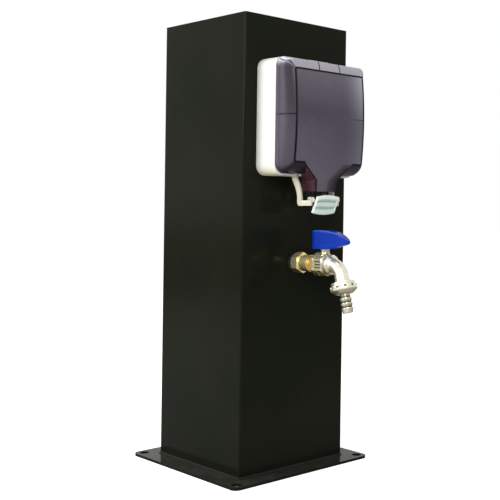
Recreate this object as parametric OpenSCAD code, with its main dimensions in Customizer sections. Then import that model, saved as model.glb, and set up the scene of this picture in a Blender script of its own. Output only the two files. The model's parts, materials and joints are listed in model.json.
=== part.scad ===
// Garden standpipe: a square sheet-metal column on a bolted base plate, with a
// ball-valve bib tap and a push-lever soap dispenser on its front face.
// Millimetres. The origin is on the floor at the middle of the base plate,
// +Z points up and the front of the column faces -Y.

/* [Column] */
// Outer width of the square column
col_w = 200; // [180:1:260]
// Overall height of the stand from floor to top
stand_h = 668; // [640:1:900]
// Sheet thickness of the column
col_t = 2.5; // [1.5:0.5:4]
// Outside bend radius of the column corners
col_r = 3; // [2:0.5:8]
// Thickness of the top plate
top_t = 2.5; // [1.5:0.5:5]

/* [Base plate] */
// How far the base plate stands out past the column
plate_over = 30; // [26:1:60]
// Thickness of the base plate
plate_t = 4; // [3:0.5:10]
// Corner radius of the base plate
plate_r = 10; // [4:1:20]
// Diameter of the anchor bolt holes
anchor_d = 14; // [9:0.5:16]
// Distance of each anchor hole from the two plate edges
anchor_inset = 13; // [11:0.5:18]
// Width of the square service opening under the column
service_w = 150; // [120:1:160]
// Corner radius of the service opening
service_r = 15; // [5:1:30]
// Leg length of the fillet weld round the foot of the column
weld_leg = 4; // [2:0.5:6]

/* [Tap inlet] */
// Distance of the tap axis below the underside of the dispenser
tap_drop = 127; // [115:1:150]
// Diameter of the half-inch pipe thread
thread_d = 20.9; // [19:0.1:23]
// Depth of the thread
thread_h = 1.1; // [0.8:0.1:1.2]
// Pitch of the thread
thread_pitch = 1.8; // [1.4:0.1:2.2]
// Diameter of the waterway
water_d = 11; // [9:0.5:12]
// Thickness of the rubber seal on the outside of the wall
seal_t = 5; // [2:0.5:6]
// Diameter of the rubber seal and of the washer inside the wall
seal_d = 30; // [27:0.5:34]
// Width across flats of the extension hexagon
ext_af = 27.5; // [26:0.5:32]
// Length of the extension hexagon
ext_hex_l = 13; // [8:0.5:18]
// Diameter of the smooth sleeve of the extension
sleeve_d = 24.5; // [24.5:0.5:28]
// Length of the smooth sleeve
sleeve_l = 18; // [11:0.5:22]
// Length of bare brass thread left showing
nipple_show = 11; // [5:0.5:14]
// Width across flats of the inlet collar and of the ribbed body
collar_af = 29.5; // [28:0.5:32]
// Length of the inlet collar
collar_l = 7; // [6.5:0.5:10]

/* [Tap body] */
// Length of the ribbed hexagon round the ball
body_l = 17.5; // [17:0.5:22]
// Diameter of the shoulder ring of the body
ring_d = 29; // [27:0.5:29.5]
// Length of the shoulder ring
ring_l = 8.5; // [6:0.5:12]
// Distance of the stem axis in front of the collar
stem_setback = 10.5; // [10.5:0.5:11]
// Diameter of the ball
ball_d = 18; // [17:0.5:18.5]
// Length of each ball seat along the waterway
seat_l = 4; // [3:0.5:4.5]
// Diameter of the stem
stem_d = 8; // [6.5:0.5:9]
// Diameter of the stem boss on the body
boss_d = 13; // [12.5:0.5:16]
// Height of the stem boss above the tap axis
boss_up = 22.5; // [21:0.5:25]
// Width across flats of the gland nut
gland_af = 12; // [11.5:0.5:14]
// Height of the gland nut above the boss
gland_h = 4; // [3:0.5:5]

/* [Spout] */
// Outer diameter of the spout
spout_d = 20; // [18:0.5:22]
// Bend radius of the spout along its middle
bend_r = 20; // [18:0.5:26]
// Lean of the outlet from straight down, towards the front
spout_tilt = 16; // [0:1:20]
// Straight length of spout above the union nut
spout_l = 9; // [8:0.5:20]
// Diameter of the outlet thread
outlet_d = 26; // [25:0.5:28]
// Length of the outlet thread
outlet_l = 10; // [8:0.5:14]

/* [Hose union] */
// Largest diameter of the union nut
nut_d = 39; // [36:0.5:42]
// Diameter of the nut's upper part
nut_top_d = 34; // [31:0.5:35]
// Number of grip notches round the nut
nut_notches = 10; // [6:1:14]
// Thickness of the hose gasket
gasket_t = 2; // [1:0.5:4]
// Thickness of the hose tail's collar
tail_collar_t = 2.5; // [2:0.5:4]
// Thickness of the nut's lower lip
lip_t = 2.2; // [1.5:0.1:4]
// Diameter over the barbs of the hose tail
barb_d = 17; // [15:0.5:18]
// Height of each barb above the tube
barb_h = 0.9; // [0.5:0.1:1.2]
// Spacing of the barbs
barb_pitch = 7; // [5:0.5:9]
// Number of barbs
barb_count = 3; // [2:1:4]
// Plain length of tube between the nut and the first barb
tail_neck = 6; // [3:0.5:8]

/* [Tap handle] */
// Length of the handle behind the stem axis
handle_back = 22.5; // [20:0.5:24]
// Length of the handle in front of the stem axis
handle_reach = 50; // [40:1:70]
// Width of the handle at the stem
handle_w = 24; // [23:0.5:28]
// Width of the handle's tip
handle_tip_w = 7; // [5:0.5:10]
// Height of the handle over the stem
handle_h = 29.5; // [27:0.5:34]
// Depth of the handle's arm near the tip
arm_depth = 9; // [6:0.5:10]
// Gap between the boss top level and the lower edge of the handle's skirt
skirt_drop = 2.5; // [1.5:0.5:3.5]

/* [Supply pipe] */
// Outer diameter of the riser pipe
riser_d = 20; // [16:0.5:22]
// Wall of the riser pipe
riser_t = 2; // [1:0.5:3]
// Distance of the riser axis behind the inside of the front wall
riser_back = 38; // [37:0.5:45]
// Height of the lower end of the inlet coupling
inlet_z = 30; // [10:1:60]
// Bore of the female inlet thread
inlet_d = 18.8; // [17:0.1:21]
// Depth of the inlet thread
inlet_l = 16; // [12:1:20]
// Height of the pipe bracket's ring
bracket_h = 20; // [12:1:30]

/* [Dispenser] */
// Width of the dispenser
disp_w = 155; // [148:1:170]
// Height of the white back shell
disp_h = 168; // [160:1:190]
// Distance of the top of the dispenser below the top of the stand
disp_drop = 64; // [30:1:80]
// Corner radius of the back shell
disp_r = 15; // [12:1:24]
// Depth of the white back shell
shell_d = 41; // [40:0.5:48]
// Wall of the back shell
shell_t = 2.5; // [2:0.25:3]
// Distance of each fixing screw from the sides of the shell
fix_side = 27.5; // [24:0.5:32]
// Distance of each fixing screw from the top and the underside of the shell
fix_end = 28; // [28:0.5:32]
// Diameter of the fixing screws
fix_d = 4.2; // [3.5:0.1:5]

/* [Cover] */
// Length of the straight rim of the cover
rim_l = 11; // [9:0.5:14]
// Wall of the cover
cover_t = 2.5; // [2:0.25:3]
// Depth from the wall to the crown of the front panel
crown_d = 74; // [73:0.5:84]
// How far the panel's crown stands above its upper and lower edges
crown_rise = 4; // [3:0.5:5]
// Half width of the front panel
panel_hw = 65.5; // [62:0.5:68]
// Distance of the panel's upper edge below the top of the dispenser
panel_top_gap = 18.5; // [17:0.5:24]
// Depth from the wall to the front of the brow above the panel
brow_d = 65; // [62:0.5:66]
// How far the brow's front edge lies below the top of the dispenser
brow_drop = 4.5; // [3:0.5:6]
// Distance of the panel's lower edge above the underside of the shell
panel_low_gap = 18; // [16:1:22]
// Thickness of the front panel
panel_t = 2.5; // [2:0.25:3]
// Width of the groove round the front panel
groove_w = 0.8; // [0.5:0.1:1.2]
// Half width of the panel's shoulder above the neck
shoulder_hw = 47; // [42:1:52]
// Half width of the neck at its waist
neck_hw = 20.5; // [19:0.5:24]
// Half width of the neck at its lower end
neck_low_hw = 19; // [18.5:0.5:22]
// How far the waist lies below the underside of the shell
waist_drop = 6; // [4:0.5:9]
// How far the neck hangs below the underside of the shell
neck_drop = 22; // [19:0.5:25]
// Depth from the wall to the back edge of the neck
neck_back_d = 34; // [32:0.5:38]
// Half width between the two short grooves of the top band
top_mark_hw = 20; // [14:1:30]
// Radius of the cover's hinge knuckles
knuckle_r = 2.8; // [2.4:0.1:3.2]
// Diameter of the cover's hinge rod
hinge_rod_d = 3; // [2:0.1:3.4]
// Half length of the hinge rod
hinge_hl = 46; // [40:1:50]

/* [Pump] */
// Depth of the pump's upright axis from the wall
pump_d = 28; // [27:0.5:29]
// Radius of the pump body
pump_r = 10; // [9.5:0.25:10.5]
// Radius of the pump cylinder's bore
piston_r = 6; // [5:0.25:6.5]
// How far the plunger axis lies below the underside of the shell
plunger_drop = 9; // [9:0.5:10]
// Length of the return spring
spring_l = 11; // [10:0.5:12]
// Wire diameter of the return spring
spring_wire = 1; // [0.8:0.1:1.2]
// Turns of the return spring
spring_turns = 4; // [3:1:5]
// Thickness of the plunger's head
head_t = 2.5; // [2:0.25:3]
// Length of the nozzle below the pump body
nozzle_l = 14; // [10:0.5:16]

/* [Push lever] */
// Depth of the lever's hinge from the wall
lever_d = 34; // [33:0.5:35]
// Height of the lever's hinge above the underside of the shell
lever_up = 10; // [9:0.5:11]
// Distance of each arm from the middle
arm_x = 33.5; // [32:0.5:36]
// Thickness of each arm
arm_t = 5; // [4:0.5:6]
// Width of each arm
arm_w = 8.4; // [5:0.2:9]
// Depth of the foot of the arms from the wall
foot_d = 48.5; // [46:0.5:51]
// How far the foot of the arms lies below the underside of the shell
foot_drop = 38; // [36:0.5:42]
// Diameter of the lever's hinge pins
lever_pin_d = 4; // [3:0.1:4.4]
// Half width of the push pad
pad_hw = 22; // [18:0.5:24]
// Height of the push pad
pad_h = 28.5; // [22:0.5:30]
// Thickness of the push pad
pad_t = 3.4; // [2.5:0.1:4.5]
// How far the pad's upper edge leans out past its lower edge
pad_lean = 10; // [6:0.5:12]
// Swell of the pad's wavy front
pad_wave = 1.8; // [0:0.1:2.2]

/* [Clearances] */
// Clearance round screwed and pushed-in pieces
fit_gap = 0.1; // [0.05:0.05:0.2]
// Radial clearance of turning and sliding fits
run_gap = 0.05; // [0.03:0.01:0.08]
// Gap between pieces that only face each other
face_gap = 0.3; // [0.2:0.05:0.4]
// Seam between the back shell and the cover
seam = 0.4; // [0.3:0.05:0.6]

/* [Hidden] */
$fn = 64;

// Colours of the finishes
black_paint = [0.11, 0.115, 0.10];
nickel = [0.80, 0.77, 0.70];
bare_brass = [0.78, 0.58, 0.22];
steel = [0.62, 0.63, 0.64];
rubber = [0.06, 0.06, 0.06];
ptfe = [0.93, 0.93, 0.90];
royal_blue = [0.05, 0.20, 0.68];
white_plastic = [0.93, 0.94, 0.92];
smoke = [0.35, 0.33, 0.38];
pale_mint = [0.82, 0.90, 0.85];
pump_grey = [0.20, 0.20, 0.21];
pipe_grey = [0.55, 0.56, 0.58];

// Base plate and column
wall_y = col_w / 2;
plate_w = col_w + 2 * plate_over;
anchor_x = plate_w / 2 - anchor_inset;
tube_h = stand_h - plate_t - top_t;
col_in_r = max(col_r - col_t, 0.2);

// Heights hung from the top of the stand
disp_top = stand_h - disp_drop;
disp_z0 = disp_top - disp_h;
tap_z = disp_z0 - tap_drop;

// Places along the tap's inlet, measured out from the column's front face
ext_hex_d0 = seal_t;
sleeve_d0 = ext_hex_d0 + ext_hex_l;
sleeve_d1 = sleeve_d0 + sleeve_l;
collar_d0 = sleeve_d1 + nipple_show;
collar_d1 = collar_d0 + collar_l;
stem_at = collar_d1 + stem_setback;
thread_r = thread_d / 2;
water_r = water_d / 2;
nipple_in = 5;
socket_in = nipple_in + 1;
washer_t = 2;
backnut_l = 7;
backnut_af = 27;
backnut_in = col_t + washer_t + backnut_l;
shank_in = 12;
shank_end = backnut_in + face_gap + shank_in;
elbow_in = col_t + riser_back;
wall_hole_r = thread_r + face_gap;

// Ball chamber, seats and stem
ball_r = ball_d / 2;
port_r = water_r;
seat_r = ball_r + 1.5;
chamber_r = seat_r + fit_gap;
chamber_end = stem_at + ball_r + fit_gap;
body_d1 = collar_d1 + body_l;
bend_at = body_d1 + ring_l;
stem_r = stem_d / 2;
tang_w = 3;
tang_h = 3;
tang_l = stem_d - 1;
stem_foot = ball_r + run_gap;
seal_r = stem_r + 1.2;
seal_h = 3;
seal_up = boss_up - seal_h - 1.5;
gland_top = boss_up + gland_h;
drive_af = 5.6;
drive_up = gland_top + 2;
drive_l = 8;
handle_low = boss_up - skirt_drop;
handle_top = handle_low + handle_h;
screw_d = 4;
screw_head_d = 9;
screw_head_t = 3;
screw_seat_up = drive_up + drive_l + 4;
screw_in = 8;
pocket_r = gland_af / sqrt(3) + 2;

// Spout: distances along its outlet axis from the end of the bend
bend_turn = 90 - spout_tilt;
outlet_at = bend_at + bend_r * sin(bend_turn);
outlet_z = tap_z - bend_r * (1 - cos(bend_turn));
outlet_end = spout_l + outlet_l;
gasket_s0 = outlet_end + fit_gap;
tail_s0 = gasket_s0 + gasket_t + fit_gap;
tail_s1 = tail_s0 + tail_collar_t;
lip_s0 = tail_s1 + fit_gap;
nut_s1 = lip_s0 + lip_t;
outlet_r = outlet_d / 2;
nut_bore_r = outlet_r + fit_gap;
tail_r = barb_d / 2 - barb_h;
tail_collar_r = outlet_r - 0.5;
barb_s0 = nut_s1 + tail_neck;
barb_land = 1.4;
tail_end = barb_s0 + barb_count * barb_pitch;
nut_flange_s0 = spout_l + 5;
nut_flange_s1 = nut_flange_s0 + 6.5;
notch_w = 4;
notch_depth = 1.6;

// Supply pipe
elbow_r = thread_r + 4;
drop_r = riser_d / 2 + 3.5;
socket_h = 18;
riser_stop = 22;
riser_top = tap_z - riser_stop - face_gap;
coupling_r = max(riser_d, inlet_d) / 2 + 4;
coupling_web = 4;
coupling_top = inlet_z + inlet_l + coupling_web + socket_h;
riser_low = inlet_z + inlet_l + coupling_web + face_gap;
bracket_z = (riser_low + riser_top - bracket_h) / 2;

// Dispenser
disp_zc = disp_z0 + disp_h / 2;
fix_x = disp_w / 2 - fix_side;
fix_z = disp_h / 2 - fix_end;
fix_bite = 2 * fix_d;
cover_d0 = shell_d + seam;
rim_d1 = cover_d0 + rim_l;
panel_z0 = disp_z0 + panel_low_gap;
panel_z1 = disp_top - panel_top_gap;
panel_zc = (panel_z0 + panel_z1) / 2;
panel_half_h = (panel_z1 - panel_z0) / 2;
crown_r = (panel_half_h * panel_half_h + crown_rise * crown_rise) / (2 * crown_rise);
ledge_t = 2.5;
ledge_w = 3;
slab_d0 = rim_d1 + 1;
waist_z = disp_z0 - waist_drop;
neck_z0 = disp_z0 - neck_drop;
mark_deep = 0.8;
side_mark_z = disp_zc - 2;
hinge_d = cover_d0 + 1.1;
hinge_z = disp_top - knuckle_r;
hinge_swing = knuckle_r + 0.7;
hinge_mid_hw = top_mark_hw - 2;
hinge_slot = face_gap + 0.1;
rod_r = hinge_rod_d / 2;

// Soap cartridge
cart_hw = 60;
cart_r = 12;
cart_t = 2;
cart_d0 = shell_t + 5;
cart_d1 = crown_d - 14;
cart_z0 = disp_z0 + 22;
cart_z1 = panel_z1 - 1;
spigot_r = 6.5;
spigot_l = 6;
shelf_x0 = 43;
shelf_x1 = 58;
shelf_t = 3.5;

// Pump
plunger_z = disp_z0 - plunger_drop;
pump_low = plunger_z - 10;
flange_r = pump_r + 2;
flange_z0 = disp_z0 + shell_t + fit_gap;
flange_t = 2.5;
pump_top = cart_z0 - fit_gap;
socket_floor = pump_top - spigot_l - 6;
barrel_d1 = pump_d + 12;
barrel_r = piston_r + 2.5;
bore_d0 = pump_d - 6;
piston_d0 = barrel_d1 - 8;
head_d0 = barrel_d1 + spring_l;
head_d1 = head_d0 + head_t;
head_r = barrel_r;
rod_rr = piston_r - 2;
spring_mean = (piston_r + barrel_r) / 2;
passage_r = 2;
check_r = 3;
nozzle_r = 5;
nozzle_tip_r = 3.5;

// Push lever
lever_z = disp_z0 + lever_up;
pin_r = lever_pin_d / 2;
eye_r = pin_r + 3;
lug_t = 3.5;
lug_gap = 0.5;
foot_z = disp_z0 - foot_drop;
foot_h = 7;
pad_d0 = foot_d + 12.5;
pad_z0 = foot_z - 0.61 * pad_h;
ear_r = 4;
ear_t = 2.6;
ear_d = pad_d0 - 1;
ear_z = foot_z + 4;
pad_pin_r = 1.3;
pad_pin_end = arm_x - arm_t / 2 - 2;
nose_r = 3;
nose_d = head_d1 + face_gap + nose_r;
tongue_hw = 4;
tongue_back = nose_d - nose_r + 1.5;
tongue_front = nose_d + nose_r - 0.2;
slot_d0 = lever_d - 8;
slot_side = 1;

// Moves a shape drawn in width and height out to a distance from the front face
module out(d = 0) {
  translate([0, -wall_y - d, 0]) rotate([90, 0, 0]) children();
}

// A tube of revolution about the outward direction at a given height
module turned(z) {
  translate([0, -wall_y, z]) rotate([90, 0, 0]) rotate_extrude() children();
}

// A bar across the width, centred on a distance and a height
module across(d, z, r, x0, x1) {
  translate([x0, -wall_y - d, z]) rotate([0, 90, 0]) cylinder(r = r, h = x1 - x0);
}

// A side profile, drawn as distance and height, stretched across the width
module side_plate(x0, x1, points) {
  translate([x0, -wall_y, 0]) rotate([90, 0, 90])
    linear_extrude(x1 - x0) polygon([for (p = points) [-p[0], p[1]]]);
}

// A block given by its distance, width and height limits
module block(x0, x1, d0, d1, z0, z1) {
  translate([x0, -wall_y - d1, z0]) cube([x1 - x0, d1 - d0, z1 - z0]);
}

module rounded_rect(w, h, r) {
  square([w - 2 * r, h], center = true);
  square([w, h - 2 * r], center = true);
  for (sx = [-1, 1], sy = [-1, 1])
    translate([sx * (w / 2 - r), sy * (h / 2 - r)]) circle(r = r);
}

// A hexagon prism along +Z with a corner pointing up and turned corners
module hex_bar(af, l, chamfer) {
  corner_r = af / sqrt(3);
  intersection() {
    rotate([0, 0, 90]) cylinder(r = corner_r, h = l, $fn = 6);
    rotate_extrude() polygon([
      [0, 0], [corner_r - chamfer, 0], [corner_r, chamfer * 0.6],
      [corner_r, l - chamfer * 0.6], [corner_r - chamfer, l], [0, l]
    ]);
  }
}

// Outline of a threaded bar from its axis out, with evenly spaced ridges
module thread_outline(l, r, depth, pitch) {
  turns = floor(l / pitch);
  lead = (l - turns * pitch) / 2;
  polygon(concat(
    [[0, 0], [r - depth, 0]],
    [for (i = [0:turns - 1], k = [0, 1, 2])
      [r - (k == 1 ? 0 : depth), lead + (i + k * 0.49) * pitch]],
    [[r - depth, l], [0, l]]
  ));
}

// Base plate and column

module base_plate() {
  color(black_paint) linear_extrude(plate_t) difference() {
    rounded_rect(plate_w, plate_w, plate_r);
    rounded_rect(service_w, service_w, service_r);
    for (sx = [-1, 1], sy = [-1, 1])
      translate([sx * anchor_x, sy * anchor_x]) circle(d = anchor_d);
  }
}

module column_tube() {
  color(black_paint) difference() {
    translate([0, 0, plate_t]) linear_extrude(tube_h) difference() {
      rounded_rect(col_w, col_w, col_r);
      rounded_rect(col_w - 2 * col_t, col_w - 2 * col_t, col_in_r);
    }
    translate([0, 0, tap_z]) out(-2 * col_t) cylinder(r = wall_hole_r, h = 3 * col_t);
    fixing_places() out(-2 * col_t) cylinder(d = fix_d + 2 * fit_gap, h = 3 * col_t);
  }
}

module base_weld() {
  side = col_w - 2 * col_r;
  leg = [[0, 0], [weld_leg, 0], [0, weld_leg]];
  color(black_paint) translate([0, 0, plate_t]) for (turn = [0:90:270]) rotate([0, 0, turn]) {
    translate([-side / 2, -wall_y, 0]) rotate([90, 0, 90])
      linear_extrude(side) polygon([for (p = leg) [-p[0], p[1]]]);
    translate([side / 2, -side / 2, 0]) rotate([0, 0, -90])
      rotate_extrude(angle = 90) translate([col_r, 0]) polygon(leg);
  }
}

module top_plate() {
  color(black_paint) translate([0, 0, stand_h - top_t]) linear_extrude(top_t)
    rounded_rect(col_w, col_w, col_r);
}

// Water supply inside the column

module wall_seal() {
  color(rubber) turned(tap_z) translate([thread_r + fit_gap, 0])
    square([seal_d / 2 - thread_r - fit_gap, seal_t]);
}

module wall_extension() {
  color(nickel) translate([0, 0, tap_z]) difference() {
    union() {
      out(-shank_end) cylinder(r = thread_r, h = shank_end + ext_hex_d0 + 1);
      out(ext_hex_d0) hex_bar(ext_af, ext_hex_l, 1.6);
      out(sleeve_d0 - 1) cylinder(d = sleeve_d, h = sleeve_l + 1);
    }
    out(-shank_end - 1) cylinder(r = water_r, h = shank_end + sleeve_d1 + 2);
    out(sleeve_d1 - socket_in) cylinder(r = thread_r + fit_gap, h = socket_in + 1);
  }
}

module inner_washer() {
  color(steel) translate([0, 0, tap_z]) out(-col_t - washer_t) difference() {
    cylinder(d = seal_d, h = washer_t);
    translate([0, 0, -1]) cylinder(r = thread_r + fit_gap, h = washer_t + 2);
  }
}

module backnut() {
  color(bare_brass) translate([0, 0, tap_z]) out(-backnut_in) difference() {
    hex_bar(backnut_af, backnut_l, 1.5);
    translate([0, 0, -1]) cylinder(r = thread_r + fit_gap, h = backnut_l + 2);
  }
}

module wall_elbow() {
  socket_d = backnut_in + face_gap;
  color(bare_brass) difference() {
    translate([0, -wall_y + elbow_in, tap_z]) union() {
      rotate([90, 0, 0]) cylinder(r = elbow_r, h = elbow_in - socket_d);
      sphere(r = elbow_r);
      translate([0, 0, -riser_stop - socket_h]) cylinder(r = drop_r, h = riser_stop + socket_h);
    }
    translate([0, 0, tap_z]) out(-shank_end - fit_gap)
      cylinder(r = thread_r + fit_gap, h = shank_in + 2);
    translate([0, 0, tap_z]) out(-elbow_in) cylinder(r = water_r, h = elbow_in - socket_d);
    translate([0, -wall_y + elbow_in, tap_z]) {
      translate([0, 0, -riser_stop - 1]) cylinder(r = water_r, h = riser_stop + 1);
      translate([0, 0, -riser_stop - socket_h - 1])
        cylinder(r = riser_d / 2 + fit_gap, h = socket_h + 1);
    }
  }
}

module riser_pipe() {
  color(pipe_grey) translate([0, -wall_y + elbow_in, riser_low]) difference() {
    cylinder(d = riser_d, h = riser_top - riser_low);
    translate([0, 0, -1]) cylinder(r = riser_d / 2 - riser_t, h = riser_top - riser_low + 2);
  }
}

module inlet_coupling() {
  color(bare_brass) translate([0, -wall_y + elbow_in, 0]) difference() {
    translate([0, 0, inlet_z]) cylinder(r = coupling_r, h = coupling_top - inlet_z);
    translate([0, 0, inlet_z - 1]) cylinder(d = inlet_d, h = inlet_l + 1);
    translate([0, 0, inlet_z]) cylinder(r = water_r, h = coupling_top - inlet_z);
    translate([0, 0, riser_low - face_gap])
      cylinder(r = riser_d / 2 + fit_gap, h = socket_h + 1);
  }
}

module pipe_bracket() {
  ring_t = 3;
  ring_r = riser_d / 2 + ring_t;
  foot_w = 40;
  foot_t = 3;
  web_w = 12;
  high = bracket_h;
  color(steel) difference() {
    union() {
      block(-foot_w / 2, foot_w / 2, -col_t - foot_t, -col_t, bracket_z, bracket_z + high);
      block(-web_w / 2, web_w / 2, -elbow_in, -col_t, bracket_z, bracket_z + high);
      translate([0, -wall_y + elbow_in, bracket_z]) cylinder(r = ring_r, h = high);
    }
    translate([0, -wall_y + elbow_in, bracket_z - 1])
      cylinder(r = riser_d / 2 + fit_gap, h = high + 2);
  }
}

// Tap

module inlet_nipple() {
  length = 2 * nipple_in + nipple_show;
  color(bare_brass) difference() {
    turned(tap_z) translate([0, sleeve_d1 - nipple_in])
      thread_outline(length, thread_r, thread_h, thread_pitch);
    translate([0, 0, tap_z]) out(sleeve_d1 - nipple_in - 1)
      cylinder(r = water_r, h = length + 2);
  }
}

module inlet_collar() {
  color(nickel) translate([0, 0, tap_z]) difference() {
    union() {
      out(collar_d0) hex_bar(collar_af, collar_l, 1.4);
      out(collar_d1 - 1) cylinder(r = seat_r, h = stem_setback - ball_r + 1 - fit_gap);
    }
    out(collar_d0 - 1) cylinder(r = thread_r + fit_gap, h = socket_in + 1);
    out(collar_d0) cylinder(r = water_r, h = collar_l + stem_setback);
  }
}

// The way from the tap's axis to the outlet's own axis
module outlet_frame() {
  translate([0, -wall_y - outlet_at, outlet_z]) rotate([180 - spout_tilt, 0, 0]) children();
}

// A round bar carried round the spout's bend
module bend(r) {
  translate([0, -wall_y - bend_at, tap_z - bend_r]) rotate([180, -90, 0])
    rotate_extrude(angle = bend_turn) translate([bend_r, 0]) circle(r = r);
}

module tap_body() {
  rib_gap = 4.2;
  rib_w = 1.3;
  rib_deep = 1;
  rib_end = 2;
  color(nickel) difference() {
    union() {
      translate([0, 0, tap_z]) {
        out(collar_d1) hex_bar(collar_af, body_l, 1.4);
        out(body_d1 - 1) cylinder(d = ring_d, h = ring_l + 1);
        translate([0, -wall_y - stem_at, 0]) cylinder(d = boss_d, h = boss_up);
      }
      bend(spout_d / 2);
      outlet_frame() translate([0, 0, -1]) cylinder(r = spout_d / 2 + face_gap, h = outlet_end + 1);
      outlet_frame() translate([0, 0, spout_l]) cylinder(d = outlet_d, h = outlet_l);
    }
    translate([0, 0, tap_z]) {
      out(collar_d1 - 1) cylinder(r = chamber_r, h = chamber_end - collar_d1 + 1);
      out(collar_d1) cylinder(r = water_r, h = bend_at - collar_d1);
      out(collar_d1 + rib_end) for (flat = [0, 180, 240, 300], k = [-1, 0, 1])
        rotate([0, 0, flat]) translate([collar_af / 2 - rib_deep, k * rib_gap - rib_w / 2, 0])
          cube([2 * rib_deep, rib_w, body_l - 2 * rib_end]);
      translate([0, -wall_y - stem_at, 0]) {
        cylinder(r = stem_r + run_gap, h = boss_up + 1);
        translate([0, 0, seal_up]) cylinder(r = seal_r, h = boss_up);
      }
    }
    bend(water_r);
    outlet_frame() translate([0, 0, -1]) cylinder(r = water_r + face_gap, h = outlet_end + 2);
  }
}

// A seat ring hollowed by the ball; the sign says which side of the ball it is on
module seat(sign) {
  color(ptfe) difference() {
    translate([0, -wall_y - stem_at, tap_z]) rotate([sign * 90, 0, 0])
      translate([0, 0, ball_r - seat_l]) difference() {
        cylinder(r = seat_r, h = seat_l);
        translate([0, 0, -1]) cylinder(r = port_r, h = seat_l + 2);
      }
    translate([0, -wall_y - stem_at, tap_z]) sphere(r = ball_r + fit_gap);
  }
}

module rear_seat() seat(-1);

module front_seat() seat(1);

module valve_ball() {
  color(steel) translate([0, -wall_y - stem_at, tap_z]) difference() {
    sphere(d = ball_d);
    rotate([90, 0, 0]) cylinder(r = port_r, h = 2 * ball_d, center = true);
    translate([-tang_w / 2 - run_gap, -ball_r, ball_r - tang_h - fit_gap])
      cube([tang_w + 2 * run_gap, ball_d, tang_h + 1]);
  }
}

module stem() {
  color(bare_brass) translate([0, -wall_y - stem_at, tap_z]) difference() {
    union() {
      translate([0, 0, stem_foot]) cylinder(r = stem_r, h = drive_up - stem_foot);
      translate([-tang_w / 2, -tang_l / 2, ball_r - tang_h])
        cube([tang_w, tang_l, tang_h + 1]);
      translate([-drive_af / 2, -drive_af / 2, drive_up - 1])
        cube([drive_af, drive_af, drive_l + 1]);
    }
    translate([0, 0, drive_up + drive_l - screw_in])
      cylinder(r = screw_d / 2 + run_gap, h = screw_in + 1);
  }
}

module stem_seal() {
  color(ptfe) translate([0, -wall_y - stem_at, tap_z + seal_up]) difference() {
    cylinder(r = seal_r - run_gap, h = seal_h);
    translate([0, 0, -1]) cylinder(r = stem_r + run_gap, h = seal_h + 2);
  }
}

module gland_nut() {
  color(bare_brass) translate([0, -wall_y - stem_at, tap_z]) difference() {
    union() {
      translate([0, 0, seal_up + seal_h]) cylinder(r = seal_r - run_gap, h = gland_h);
      translate([0, 0, boss_up]) hex_bar(gland_af, gland_h, 0.8);
    }
    cylinder(r = stem_r + run_gap, h = gland_top + 1);
  }
}

// Outline of the handle seen from above, with its round end behind the stem
module handle_plan() {
  back_r = handle_w / 2;
  tip_r = handle_tip_w / 2;
  back_y = handle_back - back_r;
  tip_y = -handle_reach + tip_r;
  translate([0, back_y]) circle(r = back_r);
  translate([0, tip_y]) circle(r = tip_r);
  polygon([[-back_r, back_y], [-tip_r, tip_y], [tip_r, tip_y], [back_r, back_y]]);
}

module handle() {
  tip_z = handle_top - 0.54 * handle_h;
  low = tap_z + handle_low;
  top = tap_z + handle_top;
  hub = pocket_r + 3;
  back = stem_at - handle_back;
  front = stem_at + handle_reach;
  profile = [
    [back, low], [back, top - 0.2 * handle_h], [back + 0.25 * handle_back, top - 0.05 * handle_h],
    [stem_at - 0.25 * handle_back, top], [stem_at + 0.16 * handle_reach, top - 0.035 * handle_h],
    [stem_at + 0.47 * handle_reach, top - 0.15 * handle_h],
    [stem_at + 0.75 * handle_reach, top - 0.34 * handle_h],
    [stem_at + 0.94 * handle_reach, tap_z + tip_z + 0.03 * handle_h],
    [front, tap_z + tip_z - 0.07 * handle_h],
    [stem_at + 0.96 * handle_reach, tap_z + tip_z - 0.17 * handle_h],
    [stem_at + 0.73 * handle_reach, top - 0.37 * handle_h - arm_depth],
    [stem_at + hub + 0.14 * handle_reach, top - 0.36 * handle_h - arm_depth * 1.4],
    [stem_at + hub + 0.02 * handle_reach, low + 0.05 * handle_h],
    [stem_at + hub - 0.04 * handle_reach, low]
  ];
  color(royal_blue) difference() {
    intersection() {
      translate([0, -wall_y - stem_at, low - 1]) linear_extrude(handle_h + 2) handle_plan();
      side_plate(-handle_w, handle_w, profile);
    }
    translate([0, -wall_y - stem_at, 0]) {
      translate([0, 0, low - 1]) cylinder(r = pocket_r, h = drive_up - handle_low + 1);
      translate([-drive_af / 2 - fit_gap, -drive_af / 2 - fit_gap, low])
        cube([drive_af + 2 * fit_gap, drive_af + 2 * fit_gap,
          drive_up + drive_l + fit_gap - handle_low]);
      translate([0, 0, low]) cylinder(r = screw_d / 2 + fit_gap, h = handle_h);
      translate([0, 0, tap_z + screw_seat_up])
        cylinder(d = screw_head_d + 2 * fit_gap, h = handle_h);
    }
  }
}

module handle_screw() {
  slot_w = 1.2;
  color(steel) translate([0, -wall_y - stem_at, tap_z + screw_seat_up]) difference() {
    union() {
      cylinder(d = screw_head_d, h = screw_head_t);
      translate([0, 0, drive_up + drive_l - screw_in + 1 - screw_seat_up])
        cylinder(d = screw_d, h = screw_seat_up - drive_up - drive_l + screw_in);
    }
    translate([-screw_head_d, -slot_w / 2, screw_head_t - 1])
      cube([2 * screw_head_d, slot_w, 2]);
  }
}

// Hose union

module hose_gasket() {
  color(rubber) outlet_frame() translate([0, 0, gasket_s0]) difference() {
    cylinder(r = tail_collar_r, h = gasket_t);
    translate([0, 0, -1]) cylinder(r = water_r, h = gasket_t + 2);
  }
}

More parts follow.
